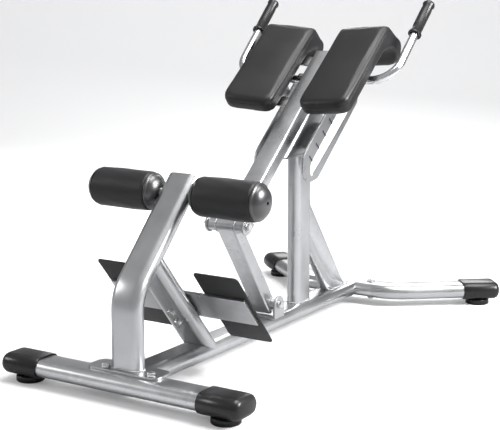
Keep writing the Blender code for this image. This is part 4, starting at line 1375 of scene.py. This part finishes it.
@dataclass
class Fittings:
    """Rubber, plastic, foot plates, handles and the index scale."""

    bench: Bench
    rubber: tuple[str, ...] = (
        "rear_cap_left", "rear_cap_right", "front_cap_left", "front_cap_right",
        "foot_rear_left", "foot_rear_right", "foot_front_left", "foot_front_right",
    )
    cheek_face: float = 0.0830
    film: float = 0.0005
    film_corner: float = 0.006
    first_mark: float = 0.9343
    mark_pitch: float = 0.0511
    mark_length: float = 0.0245
    grip_radius: float = 0.01585
    grip_ring_count: int = 12

    def dress(self) -> None:
        """Skin the rubber, plastic, plate and handle nodes."""
        palette = self.bench.palette
        for node in self.rubber:
            self.bench.skin(node, palette.rubber, edge=0.0008, smooth=46)
        for name, _ in SIDES:
            self.bench.skin(f"roller_core_{name}", palette.plastic, smooth=46)
            self.bench.skin(f"footplate_{name}", palette.plate, edge=0.0007)
            self.bench.skin(f"handle_{name}", palette.tube)
            self.bench.skin(f"grip_{name}", palette.rubber, smooth=50)
        self.bench.skin("index_plunger", palette.plastic, smooth=40)

    def strip(
        self, path: list[tuple[float, float]], width: float, lift: float, closed: bool
    ) -> bpy.types.Mesh:
        """Thin flat strip on the right cheek plate.

        Args:
            path: (s, n) points on the slope.
            width: width of the strip.
            lift: thickness of the strip.
            closed: whether the path comes back to its start.

        Returns:
            A closed mesh.
        """
        points = [Vector((s, n, 0)) for s, n in path]
        count = len(points)
        rings = []
        for i, point in enumerate(points):
            before = points[i - 1] if i or closed else point
            after = points[(i + 1) % count] if i < count - 1 or closed else point
            along = (after - before).normalized()
            across = Vector((-along.y, along.x, 0)) * width / 2
            ring = []
            for edge, height in ((1, 0.0), (1, lift), (-1, lift), (-1, 0.0)):
                place = point + across * edge
                ring.append(on_slope(place.x, place.y, self.cheek_face + SHADOW_GAP + height))
            rings.append(ring)
        return mesh_from(loft(rings, closed=closed), "strip")

    def panel_outline(self) -> list[tuple[float, float]]:
        """Rounded outline of the film on the cheek plate, as (s, n) points."""
        corners = [
            (1.232, -0.1175), (0.9260, -0.1175), (0.9050, -0.1330), (0.9030, -0.1505),
            (1.042, -0.1575), (1.110, -0.1610), (1.232, -0.1640),
        ]
        points = []
        count = len(corners)
        for i in range(count):
            here = Vector(corners[i])
            before = (Vector(corners[i - 1]) - here).normalized()
            after = (Vector(corners[(i + 1) % count]) - here).normalized()
            start = here + before * self.film_corner
            end = here + after * self.film_corner
            for step in range(7):
                t = step / 6
                place = start * (1 - t) ** 2 + here * 2 * t * (1 - t) + end * t ** 2
                points.append((place.x, place.y))
        return points

    def make_scale(self) -> None:
        """Lay the bright film, a dark line of painted shadow along its lower long edge and the position
        marks on the right cheek plate.
        """
        palette = self.bench.palette
        outline = self.panel_outline()
        rings = []
        for height in (0.0, self.film):
            rings.append([on_slope(s, n, self.cheek_face + SHADOW_GAP + height) for s, n in outline])
        self.bench.add("scale_film", mesh_from(loft(rings), "film"), palette.panel, Body.FRAME)
        # painted shadow: a dark ink strip where the film's raised edge would throw its shade onto the plate
        edge = [(1.232, -0.1630), (1.110, -0.1600), (1.042, -0.1565), (0.967, -0.1530), (0.912, -0.1498)]
        line = self.strip(edge, 0.0026, self.film + 0.0002, False)
        self.bench.add("scale_painted_shadow_line", line, palette.ink_and_painted_shadow, Body.FRAME)
        bm = bmesh.new()
        for mark in range(6):
            s = self.first_mark + self.mark_pitch * mark
            path = [(s - 0.0012, -0.0945), (s + 0.0012, -0.0945 - self.mark_length)]
            made = self.strip(path, 0.0042, self.film + 0.0003, False)
            bm.from_mesh(made)
            bpy.data.meshes.remove(made)
        self.bench.add("scale_marks", mesh_from(bm, "marks"), palette.ink_and_painted_shadow, Body.FRAME)

    def grip_rings(self) -> None:
        """Fine moulded rings round the middle of each grip."""
        rings = RepeatedDetail("grip_rings", 1)
        finish = self.bench.palette.rubber
        for name, side in SIDES:
            low = on_slope(1.405, -0.0187, side * 0.27119)
            high = on_slope(1.478, -0.0154, side * 0.2726)
            axis = (high - low).normalized()
            u = axis.orthogonal().normalized() * self.grip_radius
            v = axis.cross(u.normalized()) * self.grip_radius
            lines = []
            for step in range(self.grip_ring_count):
                centre = low.lerp(high, step / (self.grip_ring_count - 1))
                lines.append((arc(centre, u, v, 0, 352.5, 47), True))
            mesh = rings.along(lines, 0.0016, 0.0011, (0.8, 0.8, 1.2), finish, 30)
            self.bench.add(f"grip_rings_{name}", mesh, finish, Body.CARRIAGE, smooth=80)


# ------------------------------------------------------------------------- studio

@dataclass
class Studio:
    """Pale floor and backdrop, soft lights and the camera.

    Attributes:
        white: floor as the camera sees it.
        shade: floor as the bench reflects it, darker so that metal keeps its contrast.
        glow: light that the floor gives off to the camera only.
        lights: name, place, size in metres and power in watts of each light.
    """

    camera_place: Vector = field(default_factory=lambda: station(1.8451, -2.3257, 1.0089))
    camera_turn: tuple[float, float, float] = (90 - 10.413, 0.0, 32.351)
    lens: float = 89.56
    white: tuple[float, float, float] = (0.88, 0.88, 0.88)
    shade: tuple[float, float, float] = (0.52, 0.52, 0.53)
    glow: float = 0.15
    look_at: Vector = field(default_factory=lambda: Vector((0, 0, 0.4)))
    lights: tuple[tuple[str, tuple[float, float, float], float, float], ...] = (
        ("top", (0.8, 0.2, 4.2), 2.6, 170),
        ("right_side", (3.3, 0.75, 2.3), 1.5, 240),
        ("rear_left", (-3.2, -2.4, 2.0), 0.9, 25),
        ("behind", (-1.6, 4.2, 2.6), 2.0, 70),
    )

    def set_up(self) -> None:
        """Build the stage, the lights, the world and the camera."""
        self.stage()
        self.world()
        for name, place, size, power in self.lights:
            self.light(name, Vector(place), self.look_at, size, power)
        bpy.context.scene.view_settings.view_transform = "Standard"
        self.camera()

    def stage(self) -> None:
        """Floor that curves up into a backdrop."""
        bm = bmesh.new()
        rows = []
        profile = [(-9.0, 0.0), (4.5, 0.0)]
        for step in range(1, 13):
            turn = radians(90 * step / 12)
            profile.append((4.5 + 2.5 * sin(turn), 2.5 * (1 - cos(turn))))
        profile.append((7.0, 9.0))
        for away, height in profile:
            ends = (-11.0, 11.0)
            place = Matrix.Rotation(radians(self.camera_turn[2]), 3, "Z")
            rows.append([bm.verts.new(place @ Vector((x, away, height))) for x in ends])
        for near, far in zip(rows, rows[1:]):
            bm.faces.new((near[0], near[1], far[1], far[0]))
        floor = bpy.data.objects.new("studio_floor", mesh_from(bm, "studio_floor"))
        floor.data.shade_smooth()
        bpy.context.scene.collection.objects.link(floor)
        material = bpy.data.materials.new("pale_floor")
        material.use_nodes = True
        shader = material.node_tree.nodes["Principled BSDF"]
        kit = NodeKit(material.node_tree)
        seen = kit.add("ShaderNodeLightPath").outputs["Is Camera Ray"]
        colour = kit.blend_colours(seen, (*self.shade, 1), (*self.white, 1))
        kit.set(shader.inputs["Base Color"], colour)
        kit.set(shader.inputs["Emission Strength"], kit.math("MULTIPLY", seen, self.glow))
        shader.inputs["Emission Color"].default_value = (1, 1, 1, 1)
        shader.inputs["Roughness"].default_value = 0.9
        shader.inputs["Specular IOR Level"].default_value = 0.0
        floor.data.materials.append(material)

    def world(self) -> None:
        """Even soft light from all round."""
        world = bpy.data.worlds.new("studio")
        world.use_nodes = True
        background = world.node_tree.nodes["Background"]
        background.inputs["Color"].default_value = (0.90, 0.91, 0.93, 1)
        background.inputs["Strength"].default_value = 0.50
        bpy.context.scene.world = world

    def light(self, name: str, place: Vector, target: Vector, size: float, power: float) -> None:
        """Add a square area light.

        Args:
            name: name of the light.
            place: where it stands.
            target: what it points at.
            size: its side, in metres.
            power: its power, in watts.
        """
        data = bpy.data.lights.new(name, "AREA")
        data.shape = "SQUARE"
        data.size = size
        data.energy = power
        lamp = bpy.data.objects.new(name, data)
        lamp.location = place
        lamp.rotation_euler = (target - place).to_track_quat("-Z", "Y").to_euler()
        bpy.context.scene.collection.objects.link(lamp)

    def camera(self) -> None:
        """Stand the camera behind the foot end, to its right."""
        data = bpy.data.cameras.new("camera")
        data.lens = self.lens
        data.sensor_width = 36
        eye = bpy.data.objects.new("camera", data)
        eye.location = self.camera_place
        eye.rotation_euler = Euler([radians(a) for a in self.camera_turn])
        bpy.context.scene.collection.objects.link(eye)
        bpy.context.scene.camera = eye


def main() -> None:
    """Load the frame, dress it and light it."""
    logging.basicConfig(level=logging.INFO, format="%(name)s: %(message)s")
    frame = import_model()
    bench = Bench(frame)

    steel = Steelwork(bench)
    steel.dress()
    steel.weld()
    steel.close_ends()

    pads = [PadForm(name, side) for name, side in SIDES]
    fasteners = Fasteners(bench)
    fasteners.dress()
    fasteners.fit_screws(pads)

    fittings = Fittings(bench)
    fittings.dress()
    fittings.make_scale()
    fittings.grip_rings()

    upholsterer = Upholsterer(bench)
    stitches = RepeatedDetail("pad_stitches", 1)
    for pad in pads:
        upholsterer.make_pad(pad, stitches)
    for name, side in SIDES:
        upholsterer.make_roller(name, side)

    Studio().set_up()


if __name__ == "__main__":
    main()
